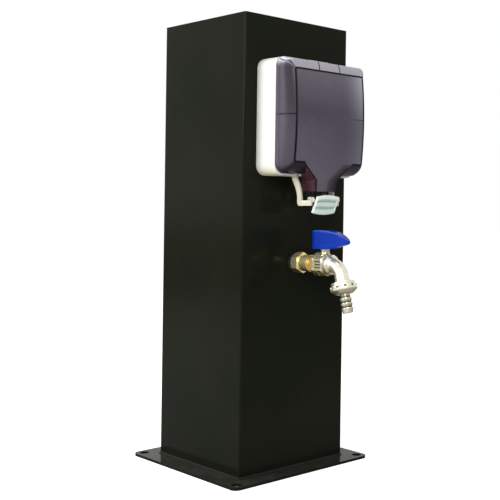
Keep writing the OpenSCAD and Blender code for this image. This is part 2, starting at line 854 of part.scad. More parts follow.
module hose_tail() {
  barbs = [for (i = [0:barb_count - 1]) each [
    [tail_r, barb_s0 + i * barb_pitch],
    [tail_r + barb_h, barb_s0 + i * barb_pitch],
    [tail_r + barb_h, barb_s0 + i * barb_pitch + barb_land],
    [tail_r, barb_s0 + (i + 1) * barb_pitch - 0.5]
  ]];
  color(nickel) outlet_frame() difference() {
    rotate_extrude() polygon(concat(
      [[0, tail_s0], [tail_collar_r, tail_s0], [tail_collar_r, tail_s1], [tail_r, tail_s1]],
      barbs, [[tail_r, tail_end], [0, tail_end]]));
    translate([0, 0, tail_s0 - 1]) cylinder(r = water_r, h = tail_end - tail_s0 + 2);
  }
}

module union_nut() {
  lip_r = tail_r + barb_h + face_gap;
  rim_r = nut_d / 2;
  color(nickel) outlet_frame() difference() {
    rotate_extrude() polygon([
      [nut_bore_r, spout_l], [nut_top_d / 2 - 1, spout_l], [nut_top_d / 2, spout_l + 1],
      [nut_top_d / 2, nut_flange_s0], [rim_r - 0.8, nut_flange_s0], [rim_r, nut_flange_s0 + 0.8],
      [rim_r, nut_flange_s1], [lip_r + 4, nut_s1], [lip_r, nut_s1], [lip_r, lip_s0],
      [nut_bore_r, lip_s0]
    ]);
    for (i = [0:nut_notches - 1]) rotate([0, 0, (i + 0.5) * 360 / nut_notches])
      translate([rim_r - notch_depth, -notch_w / 2, nut_flange_s0 - 1])
        cube([2 * notch_depth, notch_w, (nut_flange_s1 - nut_flange_s0) * 0.6 + 1]);
  }
}

// Soap dispenser: back shell and cartridge

module fixing_places() {
  for (sx = [-1, 1], sz = [-1, 1])
    translate([sx * fix_x, 0, disp_zc + sz * fix_z]) children();
}

module shell_outline(inset) {
  translate([0, disp_zc])
    rounded_rect(disp_w - 2 * inset, disp_h - 2 * inset, disp_r - inset);
}

module back_shell() {
  lever_lug_x = [arm_x - arm_t / 2 - lug_gap - lug_t, arm_x + arm_t / 2 + lug_gap];
  lug_top = lever_z + eye_r;
  color(white_plastic) difference() {
    union() {
      difference() {
        out(0) linear_extrude(shell_d) shell_outline(0);
        out(shell_t) linear_extrude(shell_d) shell_outline(shell_t);
      }
      for (side = [-1, 1]) {
        for (x = lever_lug_x) block(
          side > 0 ? x : -x - lug_t, side > 0 ? x + lug_t : -x,
          lever_d - eye_r, shell_d, disp_z0 + 1, lug_top);
        block(side > 0 ? shelf_x0 : -shelf_x1, side > 0 ? shelf_x1 : -shelf_x0,
          1, shell_d - 3, cart_z0 - shelf_t, cart_z0);
      }
      block(-hinge_mid_hw, hinge_mid_hw, hinge_d - 14, hinge_d,
        hinge_z - knuckle_r, disp_top - shell_t);
      across(hinge_d, hinge_z, knuckle_r, -hinge_mid_hw, hinge_mid_hw);
    }
    for (side = [-1, 1]) block(
      side * arm_x - arm_t / 2 - lug_gap, side * arm_x + arm_t / 2 + lug_gap,
      slot_d0, shell_d + 1, disp_z0 - 1, disp_z0 + shell_t + 1);
    across(lever_d, lever_z, pin_r + run_gap, -disp_w / 2 + shell_t, disp_w / 2 - shell_t);
    difference() {
      block(-disp_w / 2, disp_w / 2, hinge_d - hinge_swing, shell_d + 1,
        hinge_z - knuckle_r, disp_top + 1);
      block(-hinge_mid_hw, hinge_mid_hw, hinge_d - hinge_swing - 1, shell_d + 2,
        hinge_z - knuckle_r - 1, disp_top - shell_t);
      across(hinge_d, hinge_z, knuckle_r, -hinge_mid_hw, hinge_mid_hw);
    }
    across(hinge_d, hinge_z, rod_r + run_gap / 2, -hinge_mid_hw - 1, hinge_mid_hw + 1);
    translate([0, -wall_y - pump_d, disp_z0 - 1]) cylinder(r = pump_r + fit_gap, h = shell_t + 2);
    fixing_places() out(-1) cylinder(d = fix_d + 2 * fit_gap, h = shell_t + 2);
  }
}

module fixing_screws() {
  head_d = fix_d * 2;
  head_h = 2.6;
  length = shell_t + col_t + fix_bite;
  color(steel) fixing_places() {
    out(shell_t + fit_gap) cylinder(d = head_d, h = head_h);
    out(shell_t + fit_gap - length) cylinder(d = fix_d, h = length + 1);
  }
}

module cartridge_outline(inset) {
  translate([0, (cart_z0 + cart_z1) / 2])
    rounded_rect(2 * (cart_hw - inset), cart_z1 - cart_z0 - 2 * inset, cart_r - inset);
}

module soap_cartridge() {
  color(white_plastic) difference() {
    union() {
      out(cart_d0) linear_extrude(cart_d1 - cart_d0) cartridge_outline(0);
      translate([0, -wall_y - pump_d, cart_z0 - spigot_l]) cylinder(r = spigot_r, h = spigot_l + 1);
    }
    out(cart_d0 + cart_t) linear_extrude(cart_d1 - cart_d0 - 2 * cart_t) cartridge_outline(cart_t);
    translate([0, -wall_y - pump_d, cart_z0 - spigot_l - 1])
      cylinder(r = spigot_r - cart_t, h = spigot_l + cart_t + 2);
  }
}

// Soap dispenser: smoked cover

// The long round bar whose surface is the crown of the cover's front
module crown(inset) {
  translate([0, -wall_y - crown_d + crown_r, panel_zc]) rotate([0, 90, 0])
    cylinder(r = crown_r - inset, h = 2 * disp_w, center = true, $fn = 360);
}

// The cover's rounded rim drawn forward to the brow and the edge of the front panel
module cover_form(inset) {
  slab_w = panel_hw + groove_w - inset;
  brow_w = panel_hw - 3 - inset;
  hull() {
    out(cover_d0) linear_extrude(rim_l - inset / 2, $fn = 32) shell_outline(inset);
    intersection() {
      crown(inset);
      block(-slab_w, slab_w, slab_d0, crown_d + 1,
        panel_z0 - groove_w + inset, panel_z1 + groove_w - inset);
    }
    block(-brow_w, brow_w, slab_d0, brow_d - inset, panel_zc, disp_top - brow_drop - inset);
  }
}

// The panel's outline: a wide upper field that narrows into the neck
module panel_outline(grow, low) {
  slope = (shoulder_hw - neck_hw) / (panel_z0 - waist_z);
  right = [
    [panel_hw + grow, panel_z1 + grow], [panel_hw + grow, panel_z0 - grow],
    [shoulder_hw + grow * (1 - slope / 2), panel_z0 - grow], [neck_hw + grow, waist_z],
    [neck_low_hw + grow, low]
  ];
  polygon(concat(right, [for (i = [len(right) - 1:-1:0]) [-right[i][0], right[i][1]]]));
}

// The part of the panel's outline that lies below its upper field
module neck_outline(grow, low) {
  intersection() {
    panel_outline(grow, low);
    translate([-disp_w, low]) square([2 * disp_w, panel_z0 - low]);
  }
}

module neck_form(inset, low, back) {
  intersection() {
    crown(inset);
    out(back) linear_extrude(crown_d - back + 1) neck_outline(-inset, low);
  }
}

// Thin marks scored into the cover's skin
module cover_marks() {
  mark_hw = groove_w / 2;
  difference() {
    union() {
      block(-disp_w, disp_w, cover_d0, crown_d, side_mark_z - mark_hw, side_mark_z + mark_hw);
      for (side = [-1, 1]) block(
        side * top_mark_hw - mark_hw, side * top_mark_hw + mark_hw,
        rim_d1, crown_d, panel_zc, disp_top + 1);
    }
    cover_form(mark_deep);
    block(-panel_hw, panel_hw, cover_d0 - 1, crown_d + 1, neck_z0, panel_z1);
  }
}

module cover_frame() {
  color(smoke) difference() {
    union() {
      difference() {
        union() {
          cover_form(0);
          neck_form(0, neck_z0, cover_d0);
        }
        block(-disp_w, disp_w, cover_d0 - 1, hinge_d, hinge_z - hinge_swing, disp_top + 1);
      }
      intersection() {
        neck_form(0, neck_z0, neck_back_d);
        block(-disp_w, disp_w, neck_back_d, cover_d0 + 1, neck_z0, disp_z0 - seam);
      }
      for (side = [-1, 1]) across(hinge_d, hinge_z, knuckle_r,
        side > 0 ? hinge_mid_hw + hinge_slot : -hinge_hl,
        side > 0 ? hinge_hl : -hinge_mid_hw - hinge_slot);
    }
    difference() {
      union() {
        cover_form(cover_t + ledge_t);
        difference() {
          out(cover_d0 - 1) linear_extrude(rim_l - 1) shell_outline(cover_t);
          block(-disp_w, disp_w, cover_d0 - 2, hinge_d + knuckle_r,
            hinge_z - knuckle_r - 1, disp_top);
        }
      }
      for (side = [-1, 1]) across(hinge_d, hinge_z, knuckle_r,
        side > 0 ? hinge_mid_hw + hinge_slot : -hinge_hl,
        side > 0 ? hinge_hl : -hinge_mid_hw - hinge_slot);
    }
    neck_form(cover_t + fit_gap, neck_z0 - 1, neck_back_d - 1);
    out(slab_d0) linear_extrude(crown_d) panel_outline(-ledge_w, neck_z0 - 1);
    difference() {
      out(slab_d0) linear_extrude(crown_d) panel_outline(groove_w, neck_z0 - 1);
      crown(panel_t + fit_gap);
    }
    across(hinge_d, hinge_z, knuckle_r + face_gap, -hinge_mid_hw - hinge_slot,
      hinge_mid_hw + hinge_slot);
    across(hinge_d, hinge_z, rod_r + run_gap, -hinge_hl - 1, hinge_hl + 1);
    cover_marks();
  }
}

module front_panel() {
  color(smoke) difference() {
    intersection() {
      crown(0);
      out(slab_d0) linear_extrude(crown_d) panel_outline(0, neck_z0);
    }
    crown(panel_t);
  }
}

module cover_hinge_rod() {
  color(steel) across(hinge_d, hinge_z, rod_r, -hinge_hl, hinge_hl);
}

// Soap dispenser: pump

module pump_body() {
  color(pump_grey) translate([0, -wall_y - pump_d, 0]) difference() {
    union() {
      translate([0, 0, pump_low]) cylinder(r = pump_r, h = pump_top - pump_low);
      translate([0, 0, flange_z0]) cylinder(r = flange_r, h = flange_t);
      translate([0, 0, plunger_z]) rotate([90, 0, 0]) cylinder(r = barrel_r, h = barrel_d1 - pump_d);
    }
    translate([0, 0, socket_floor]) cylinder(r = spigot_r + fit_gap, h = pump_top);
    translate([0, 0, pump_low - 1]) cylinder(r = passage_r, h = socket_floor - pump_low + 2);
    translate([0, pump_d - bore_d0, plunger_z]) rotate([90, 0, 0])
      cylinder(r = piston_r, h = barrel_d1 - bore_d0 + 1);
  }
}

module check_ball() {
  rest = sqrt(check_r * check_r - passage_r * passage_r);
  color(steel) translate([0, -wall_y - pump_d, socket_floor + rest + run_gap]) sphere(r = check_r);
}

module pump_plunger() {
  groove_d = piston_d0 + 2;
  color(white_plastic) translate([0, 0, plunger_z]) difference() {
    union() {
      out(piston_d0) cylinder(r = piston_r - run_gap, h = 6);
      out(piston_d0) cylinder(r = rod_rr, h = head_d0 - piston_d0 + 1);
      out(head_d0) cylinder(r = head_r, h = head_t);
    }
    out(groove_d) difference() {
      cylinder(r = piston_r + 1, h = 2);
      translate([0, 0, -1]) cylinder(r = rod_rr, h = 4);
    }
  }
}

module plunger_seal() {
  color(rubber) translate([0, 0, plunger_z]) out(piston_d0 + 2 + fit_gap) difference() {
    cylinder(r = piston_r - run_gap, h = 2 - 2 * fit_gap);
    translate([0, 0, -1]) cylinder(r = rod_rr + run_gap, h = 4);
  }
}

// The return spring: one wire wound round the plunger, as rings of six corners
function spring_ring(i, rings) =
  let (turn = 360 * spring_turns * i / rings)
  let (rise = spring_wire / 2 + fit_gap
    + (spring_l - spring_wire - 2 * fit_gap) * i / rings)
  [for (k = [0:5]) let (r = spring_mean + spring_wire / 2 * cos(60 * k))
    [r * cos(turn), r * sin(turn), rise + spring_wire / 2 * sin(60 * k)]];

module pump_spring() {
  rings = 12 * spring_turns;
  points = [for (i = [0:rings]) each spring_ring(i, rings)];
  sides = [for (i = [0:rings - 1], k = [0:5])
    let (a = 6 * i + k, b = 6 * i + (k + 1) % 6) each [[a, b, b + 6], [a, b + 6, a + 6]]];
  ends = [for (k = [1:4]) each [[0, k + 1, k], [6 * rings, 6 * rings + k, 6 * rings + k + 1]]];
  middles = [for (i = [0:rings]) (points[6 * i] + points[6 * i + 3]) / 2];
  echo(spring_least_gap = min([for (i = [0:rings - 7], j = [i + 7:rings])
    norm(middles[i] - middles[j])]) - spring_wire);
  color(steel) translate([0, 0, plunger_z]) out(barrel_d1)
    polyhedron(points = points, faces = concat(sides, ends));
}

module nozzle() {
  color(pump_grey) translate([0, -wall_y - pump_d, pump_low]) rotate([180, 0, 0]) difference() {
    union() {
      cylinder(r = nozzle_r, h = nozzle_l / 3);
      translate([0, 0, nozzle_l / 3])
        cylinder(r1 = nozzle_r, r2 = nozzle_tip_r, h = nozzle_l * 2 / 3);
    }
    translate([0, 0, -1]) cylinder(r = passage_r, h = nozzle_l + 2);
  }
}

// Soap dispenser: push lever

function bezier(p, t) = let (s = 1 - t)
  s * s * s * p[0] + 3 * s * s * t * p[1] + 3 * s * t * t * p[2] + t * t * t * p[3];

function bezier_way(p, t) = let (s = 1 - t)
  let (v = s * s * (p[1] - p[0]) + 2 * s * t * (p[2] - p[1]) + t * t * (p[3] - p[2]))
  v / norm(v);

// A band of even width along a curve, as one closed outline
function band(p, half, n) = concat(
  [for (i = [0:n]) let (v = bezier_way(p, i / n)) bezier(p, i / n) + half * [v[1], -v[0]]],
  [for (i = [n:-1:0]) let (v = bezier_way(p, i / n)) bezier(p, i / n) - half * [v[1], -v[0]]]
);

module push_lever() {
  fall = lever_z - foot_z;
  path = [
    [lever_d, lever_z], [lever_d, lever_z - 0.25 * fall],
    [foot_d - 0.17 * (foot_d - lever_d), foot_z + 0.54 * fall], [foot_d, foot_z]
  ];
  hook = [
    [foot_d - 4.5, foot_z + 5], [foot_d - 2, foot_z + 5], [foot_d - 1, foot_z + 1],
    [foot_d + 4, foot_z + 1], [foot_d + 4, foot_z - foot_h], [foot_d - 2, foot_z - foot_h],
    [foot_d - 4.5, foot_z - 3]
  ];
  bar_in = pad_hw + ear_t + 0.2;
  arm_in = arm_x - arm_t / 2;
  arm_out = arm_x + arm_t / 2;
  bar = [
    [arm_in, foot_d - 1], [arm_out, foot_d], [arm_out, foot_d + 4], [bar_in + 3, ear_d + ear_r],
    [bar_in, ear_d + ear_r], [bar_in, ear_d - ear_r]
  ];
  color(white_plastic) for (side = [-1, 1]) mirror([side > 0 ? 0 : 1, 0, 0]) difference() {
    union() {
      side_plate(arm_x - arm_t / 2, arm_x + arm_t / 2, band(path, arm_w / 2, 16));
      side_plate(arm_x - arm_t / 2, arm_x + arm_t / 2, hook);
      translate([0, -wall_y, foot_z - foot_h + 2])
        linear_extrude(ear_z + ear_r - foot_z + foot_h - 2) polygon([for (p = bar) [p[0], -p[1]]]);
      across(lever_d, lever_z, eye_r, arm_x - arm_t / 2, arm_x + arm_t / 2);
    }
    across(lever_d, lever_z, pin_r + run_gap, arm_x - arm_t, arm_x + arm_t);
    across(ear_d, ear_z, pad_pin_r + fit_gap / 2, bar_in - 1, arm_x - arm_t / 2);
  }
}

// Front of the pad at a share of its height: it leans out and swells in a wave
function pad_front(u) = pad_d0 + pad_lean * u + pad_wave * sin(360 * u);

module push_pad() {
  steps = 20;
  back_rise = pad_z0 + pad_h * 0.55;
  face = [for (i = [0:steps]) [pad_front(i / steps), pad_z0 + pad_h * i / steps]];
  back = [for (i = [steps:-1:0]) [pad_front(i / steps) - pad_t, pad_z0 + pad_h * i / steps]];
  tongue = [
    [pad_front(0.35) - pad_t + 1, pad_z0 + pad_h * 0.35],
    [pad_front(0.75) - pad_t + 1, pad_z0 + pad_h * 0.75],
    [tongue_front, neck_z0 - 2], [tongue_front, plunger_z], [tongue_back, plunger_z],
    [tongue_back, back_rise + 4]
  ];
  color(pale_mint) difference() {
    union() {
      side_plate(-pad_hw, pad_hw, concat(face, back));
      side_plate(-tongue_hw, tongue_hw, tongue);
      across(nose_d, plunger_z, nose_r, -tongue_hw, tongue_hw);
      for (side = [-1, 1]) {
        across(ear_d, ear_z, ear_r, side > 0 ? pad_hw - 2 : -pad_hw - ear_t,
          side > 0 ? pad_hw + ear_t : -pad_hw + 2);
        block(side > 0 ? pad_hw - 2 : -pad_hw, side > 0 ? pad_hw : -pad_hw + 2,
          ear_d, pad_front(0.6) - pad_t + 1, ear_z - 2, ear_z + 2);
      }
    }
    for (side = [-1, 1]) across(ear_d, ear_z, pad_pin_r + fit_gap / 2,
      side > 0 ? pad_hw - 3 : -pad_hw - ear_t - 1, side > 0 ? pad_hw + ear_t + 1 : -pad_hw + 3);
  }
}

module lever_pins() {
  reach = arm_t / 2 + lug_gap + lug_t;
  color(steel) for (side = [-1, 1])
    across(lever_d, lever_z, pin_r, side * arm_x - reach, side * arm_x + reach);
}

module pad_pins() {
  color(steel) for (side = [-1, 1]) across(ear_d, ear_z, pad_pin_r,
    side > 0 ? pad_hw - 2 : -pad_pin_end, side > 0 ? pad_pin_end : -pad_hw + 2);
}

base_plate();
column_tube();
base_weld();
top_plate();
wall_seal();
wall_extension();
inner_washer();
backnut();
wall_elbow();
riser_pipe();
inlet_coupling();
pipe_bracket();
inlet_nipple();
inlet_collar();
tap_body();
rear_seat();
front_seat();
valve_ball();
stem();
stem_seal();
gland_nut();
handle();
handle_screw();
hose_gasket();
hose_tail();
union_nut();
back_shell();
fixing_screws();
soap_cartridge();
cover_frame();
front_panel();
cover_hinge_rod();
pump_body();
check_ball();
pump_plunger();
plunger_seal();
pump_spring();
nozzle();
push_lever();
push_pad();
lever_pins();
pad_pins();
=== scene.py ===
# %% [markdown]
# # A garden standpipe with a soap dispenser
# The real object is a gloss-black square column that stands on a bolted base plate. A plated
# ball-valve tap and a push-lever soap dispenser hang on its front face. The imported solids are
# loaded first as a fixed frame, because every piece made here has to sit on one of them.

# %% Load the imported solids
import json
import math

import bmesh
import bpy
import numpy as np
from mathutils import Matrix, Vector
from numpy import cos, linspace, pi, sin


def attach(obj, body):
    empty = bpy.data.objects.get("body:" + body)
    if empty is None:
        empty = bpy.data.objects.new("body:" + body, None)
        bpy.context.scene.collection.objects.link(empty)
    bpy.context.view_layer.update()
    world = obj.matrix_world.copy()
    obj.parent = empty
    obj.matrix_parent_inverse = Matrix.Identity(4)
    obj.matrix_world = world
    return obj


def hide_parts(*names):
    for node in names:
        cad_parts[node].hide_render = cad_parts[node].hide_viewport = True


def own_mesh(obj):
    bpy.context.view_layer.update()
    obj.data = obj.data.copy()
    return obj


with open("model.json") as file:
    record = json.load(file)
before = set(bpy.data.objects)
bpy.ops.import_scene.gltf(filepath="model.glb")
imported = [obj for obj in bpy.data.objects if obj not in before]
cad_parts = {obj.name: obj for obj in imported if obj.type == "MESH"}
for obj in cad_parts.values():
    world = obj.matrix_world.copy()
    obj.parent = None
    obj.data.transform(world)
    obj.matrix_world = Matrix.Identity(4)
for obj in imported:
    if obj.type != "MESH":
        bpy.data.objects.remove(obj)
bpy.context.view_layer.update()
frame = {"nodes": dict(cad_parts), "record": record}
nodes = frame["nodes"]

# %% [markdown]
# ## Measures
# All shapes below are worked out in millimetres. The tap and the dispenser stand out of the
# column's front face, so a place is given by its width x, its distance out from that face and its
# height z. One small function turns such places into points of the frame.

# %% Turn widths, distances and heights into points
MM = 0.001
FRONT_Y = -100.0
TAP_Z = 309.0


def place(x, out, z):
    """Point = (x, front face minus the distance out, z), for whole arrays at once."""
    x, out, z = np.broadcast_arrays(x, out, z)
    return np.stack([x, FRONT_Y - out, z], axis=-1).astype(float)


print("tap axis starts at", place(0, 0, TAP_Z).tolist())

# %% [markdown]
# ## Camera
# The photo was taken from the front left, a little above the tap. The corners of the column, the
# plate and the dispenser were matched to their pixels, which gives the lens, the place and a very
# small roll. The photo is cut from a wider one, so its middle is not the lens's: that is the shift.

# %% Place the camera
PHOTO_PIXELS, FOCAL_PIXELS, SENSOR = 500.0, 936.8, 36.0
YAW, ROLL = math.radians(45.956), math.radians(0.834)
EYE_SPOT = (-0.923, -1.1559, 0.394)


def put_in_scene(name, data):
    """A new object of that data, linked to the scene."""
    made = bpy.data.objects.new(name, data)
    bpy.context.scene.collection.objects.link(made)
    return made


eye = bpy.data.cameras.new("viewpoint")
eye.sensor_width = SENSOR
eye.lens = FOCAL_PIXELS / PHOTO_PIXELS * SENSOR
eye.shift_x = -0.25
eye.shift_y = -0.0874
eye.clip_start = 0.01
camera = put_in_scene("viewpoint", eye)
upright = Matrix.Rotation(-YAW, 4, "Z") @ Matrix.Rotation(pi / 2, 4, "X")
camera.matrix_world = Matrix.Translation(EYE_SPOT) @ upright @ Matrix.Rotation(ROLL, 4, "Z")
bpy.context.scene.camera = camera
print("lens", round(eye.lens, 1), "mm")

# %% [markdown]
# ## Shared finish effects
# Real finishes are never one flat colour. A few small node groups are shared by all materials. They
# give only masks, so each material still decides its own colour and gloss. Nodes could be wired one
# by one; a helper that makes a node, sets its values and links its sockets keeps that short. The
# first two groups are noises: a slow cloudiness for tone and a fine grain for bumps.

# %% Wire nodes and make the two noises
def wired(tree, kind, output, inputs=None, **traits):
    """One output of a new node; an input given as a socket is linked, one given as a value is set."""
    node = tree.nodes.new("ShaderNode" + kind)
    for trait, value in traits.items():
        setattr(node, trait, value)
    for label, value in (inputs or {}).items():
        if isinstance(value, bpy.types.NodeSocket):
            tree.links.new(value, node.inputs[label])
        else:
            node.inputs[label].default_value = value
    return node.outputs[output]


def stretched(tree, value, low=0.0, high=1.0, to_low=0.0, to_high=1.0, **traits):
    """The value, with low..high stretched to to_low..to_high and held at both ends."""
    ends = {"From Min": low, "From Max": high, "To Min": to_low, "To Max": to_high}
    return wired(tree, "MapRange", "Result", {"Value": value, **ends}, **traits)


def new_group(name, **inputs):
    """An empty shader node group with number inputs and one output named Mask."""
    group = bpy.data.node_groups.new(name, "ShaderNodeTree")
    for label, value in inputs.items():
        socket = group.interface.new_socket(label, in_out="INPUT", socket_type="NodeSocketFloat")
        socket.default_value = value
    group.interface.new_socket("Mask", in_out="OUTPUT", socket_type="NodeSocketFloat")
    return group, group.nodes.new("NodeGroupInput").outputs


def give_out(group, mask):
    """The group, with that mask linked to its output."""
    group.links.new(mask, group.nodes.new("NodeGroupOutput").inputs["Mask"])
    return group


def noise_group(name, scale, detail, low, high):
    """Mask = noise of the piece's own coordinates, stretched from low..high to 0..1."""
    group, enter = new_group(name, Scale=scale)
    spot = wired(group, "TexCoord", "Object")
    noise = wired(group, "TexNoise", "Fac", {"Vector": spot, "Scale": enter["Scale"], "Detail": detail})
    return give_out(group, stretched(group, noise, low, high, interpolation_type="SMOOTHSTEP"))


cloudy = noise_group("slow_cloudiness", scale=14.0, detail=3.0, low=0.3, high=0.7)
grain = noise_group("fine_grain", scale=900.0, detail=2.0, low=0.25, high=0.75)
print("noises:", cloudy.name, grain.name)

# %% [markdown]
# Dust settles on upward faces, and downward faces get painted shade, both in soft patches, so one
# group serves both with a sign for the way. The last mask tells what lies close to the wall, where
# the tap's plating gets painted golden light.

# %% Groups for dust, painted under-shade and the wall
PATCH_SCALE, PATCH_LEAST = 38.0, 0.55


def product(tree, a, b, **traits):
    """A times b, each a socket or a number."""
    return wired(tree, "Math", "Value", {0: a, 1: b}, operation="MULTIPLY", **traits)


def group_mask(tree, group, **values):
    """The mask of a shared group, with its inputs set to plain numbers."""
    return wired(tree, "Group", "Mask", values, node_tree=group)


def dust_and_shade_group():
    """Mask = how far past Start the face looks up (Way 1) or down (Way -1), times soft patches."""
    group, enter = new_group("dust_and_painted_under_shade", Amount=0.5, Way=1.0, Start=0.55)
    facing = wired(group, "NewGeometry", "Normal")
    aimed = product(group, wired(group, "SeparateXYZ", "Z", {"Vector": facing}), enter["Way"])
    past = stretched(group, aimed, enter["Start"])
    even = stretched(group, group_mask(group, cloudy, Scale=PATCH_SCALE), to_low=PATCH_LEAST)
    return give_out(group, product(group, product(group, past, even), enter["Amount"]))


def wall_group(near, far):
    """Mask = 1 up to the distance near from the front face, 0 from the distance far on."""
    group, _ = new_group("close_to_wall")
    depth = wired(group, "SeparateXYZ", "Y", {"Vector": wired(group, "TexCoord", "Object")})
    return give_out(group, stretched(group, depth, (FRONT_Y - far) * MM, (FRONT_Y - near) * MM))


dust_and_under_shade = dust_and_shade_group()
by_wall = wall_group(near=46.0, far=80.0)
print("node groups:", [g.name for g in bpy.data.node_groups])

# %% [markdown]
# ## Materials
# One recipe serves most finishes: two close tones mixed by cloudiness, a roughness that wanders a
# little, a fine bump, and edges that catch light as if they were rounded. Downward faces may take
# painted shade, and the tap's plating near the wall painted golden light. Grooves, where dirt and
# shade gather, take another tone by the mask of seams and painted light, which also carries painted
# shade and painted highlights. What makes paint, plate, brass or plastic different is the numbers,
# and those are set straight on the shader's sockets.

# %% A recipe for finishes, and the paint and metals
BUMP_HIGH, DUST_AMOUNT, UNDER_SHADE_AMOUNT = 0.1, 0.8, 1.3
ROUGH_LEAST, ROUGH_MOST = 0.85, 1.15


def mix_in(tree, colour, tone, mask):
    """Colour = colour where the mask is 0, the tone where it is 1."""
    return wired(tree, "Mix", "Result", {"Factor": mask, "A": colour, "B": (*tone, 1)},
                 data_type="RGBA")


def seam_mask(tree):
    """The piece's own mask of grooves, painted shade and painted light; 0 on solids that carry none."""
    return wired(tree, "Attribute", "Fac", attribute_name="seam")


def finish(name, tone_a, tone_b, rough, metal=0.0, cloud=14.0, bump=0.0, grain_scale=900.0,
           edge=0.4, specular=0.5, dust_tone=None, seam_tone=None, wall_light_tone=None, under_shade_tone=None):
    """Colour = two tones by clouds, then painted wall light, dust, painted under-shade and seams;
    roughness = a range by clouds.
    """
    made = bpy.data.materials.new(name)
    made.use_nodes = True
    tree = made.node_tree
    shader = tree.nodes["Principled BSDF"].inputs
    shader["Metallic"].default_value = metal
    shader["Specular IOR Level"].default_value = specular
    clouds = group_mask(tree, cloudy, Scale=cloud)
    colour = mix_in(tree, (*tone_a, 1), tone_b, clouds)
    # Painted golden light on the plating close to the wall.
    if wall_light_tone:
        colour = mix_in(tree, colour, wall_light_tone, group_mask(tree, by_wall))
    if dust_tone:
        colour = mix_in(tree, colour, dust_tone, group_mask(tree, dust_and_under_shade, Amount=DUST_AMOUNT))
    # Painted shade on faces that look down.
    if under_shade_tone:
        under_shade = group_mask(tree, dust_and_under_shade, Amount=UNDER_SHADE_AMOUNT, Way=-1.0, Start=0.0)
        colour = mix_in(tree, colour, under_shade_tone, under_shade)
    if seam_tone:
        colour = mix_in(tree, colour, seam_tone, seam_mask(tree))
    wander = stretched(tree, clouds, to_low=rough * ROUGH_LEAST, to_high=rough * ROUGH_MOST)
    soft = wired(tree, "Bevel", "Normal", {"Radius": edge * MM}, samples=4)
    raised = wired(tree, "Bump", "Normal",
                   {"Strength": bump, "Distance": BUMP_HIGH * MM, "Normal": soft,
                    "Height": group_mask(tree, grain, Scale=grain_scale)})
    for label, socket in (("Base Color", colour), ("Roughness", wander), ("Normal", raised)):
        tree.links.new(socket, shader[label])
    return made


finishes = {
    "black_paint": finish(
        "gloss_black_paint", (0.0078, 0.0092, 0.0052), (0.0112, 0.0126, 0.0075), 0.13, cloud=5.0,
        bump=0.04, grain_scale=420, specular=0.045, dust_tone=(0.05, 0.05, 0.045)),
    # Its wall tone is painted golden light near the wall, its under tone is painted shade, and its seam
    # tone is painted shade in grooves, notches and hollows.
    "nickel_plate": finish(
        "nickel_plate", (0.85, 0.81, 0.7), (0.74, 0.69, 0.53), 0.25, 0.72, cloud=60, bump=0.12,
        edge=0.6, seam_tone=(0.1, 0.085, 0.05), wall_light_tone=(1.0, 0.87, 0.45),
        under_shade_tone=(0.2, 0.15, 0.03)),
    "bare_brass": finish(
        "bare_brass", (0.9, 0.56, 0.12), (0.8, 0.46, 0.07), 0.34, 0.75, cloud=90, bump=0.15,
        seam_tone=(0.4, 0.18, 0.03)),
    "steel": finish("plain_steel", (0.62, 0.63, 0.64), (0.5, 0.51, 0.52), 0.28, 1.0, cloud=80),
    "pipe_metal": finish("drawn_pipe", (0.6, 0.61, 0.63), (0.5, 0.51, 0.53), 0.35, 1.0, cloud=50),
}
print("paint and metals:", sorted(finishes))

# %% [markdown]
# The rubber and plastics follow the same recipe without metal. The handle's edge and the pad's
# valleys take their own tone by the mask of seams and painted light: a painted highlight of lighter
# blue along the handle's edge, and painted green shade in the pad's valleys.

# %% Rubber and plastics
finishes.update({
    "black_rubber": finish(
        "black_rubber", (0.012, 0.012, 0.012), (0.022, 0.022, 0.022), 0.6, cloud=70, bump=0.2),
    "seal_plastic": finish("seal_plastic", (0.86, 0.86, 0.82), (0.8, 0.8, 0.76), 0.45),
    # Its seam tone is a painted highlight along the handle's upper edge.
    "blue_plastic": finish(
        "royal_blue_plastic", (0.002, 0.025, 0.3), (0.003, 0.032, 0.36), 0.28, cloud=30, bump=0.06,
        edge=0.8, specular=0.13, seam_tone=(0.05, 0.22, 0.75)),
    # Its under-shade tone is painted ivory shade on the shell's downward faces.
    "white_plastic": finish(
        "white_plastic", (0.81, 0.82, 0.77), (0.76, 0.77, 0.71), 0.3, cloud=22, bump=0.05,
        grain_scale=700, edge=0.3, seam_tone=(0.4, 0.39, 0.32), under_shade_tone=(0.8, 0.74, 0.55)),
    # A darker cream copy of the white plastic: painted shade for the arms under the shell.
    "shaded_white_plastic": finish(
        "shaded_white_plastic", (0.68, 0.64, 0.5), (0.62, 0.58, 0.44), 0.34, cloud=45, bump=0.05, edge=0.3),
    # Its seam tone is painted green shade in the pad's valleys.
    "pale_mint_plastic": finish(
        "pale_mint_plastic", (0.89, 0.95, 0.9), (0.84, 0.91, 0.85), 0.26, cloud=40, bump=0.04,
        seam_tone=(0.27, 0.46, 0.36)),
    "pump_plastic": finish(
        "dark_pump_plastic", (0.011, 0.011, 0.012), (0.018, 0.018, 0.02), 0.5, cloud=40, bump=0.1,
        specular=0.2),
})
print("finishes:", len(finishes))

# %% [markdown]
# ## Smoked plastic
# The cover is tinted clear plastic over a white tank, so it looks grey-purple and a little deep.
# Full refraction would leave the inside black, since light hardly gets in. A tinted surface that
# covers only part of what lies behind it lets light pass both ways. Grooves cover fully. Grooves and
# painted shade take a dark tone, and painted light makes the thin wall paler along its edge: there
# the mask is given below zero. The walls of the neck take a wine tint.

# %% The smoked cover's material
# Thin edges are painted paler towards EDGE_LIT; grooves and painted shade go towards the dark tone.
EDGE_LIT, GROOVE_AND_SHADE_DARK = (0.86, 0.83, 0.94), (0.009, 0.005, 0.009)
COVER_SHARE, NECK_SHARE = 0.82, 0.86


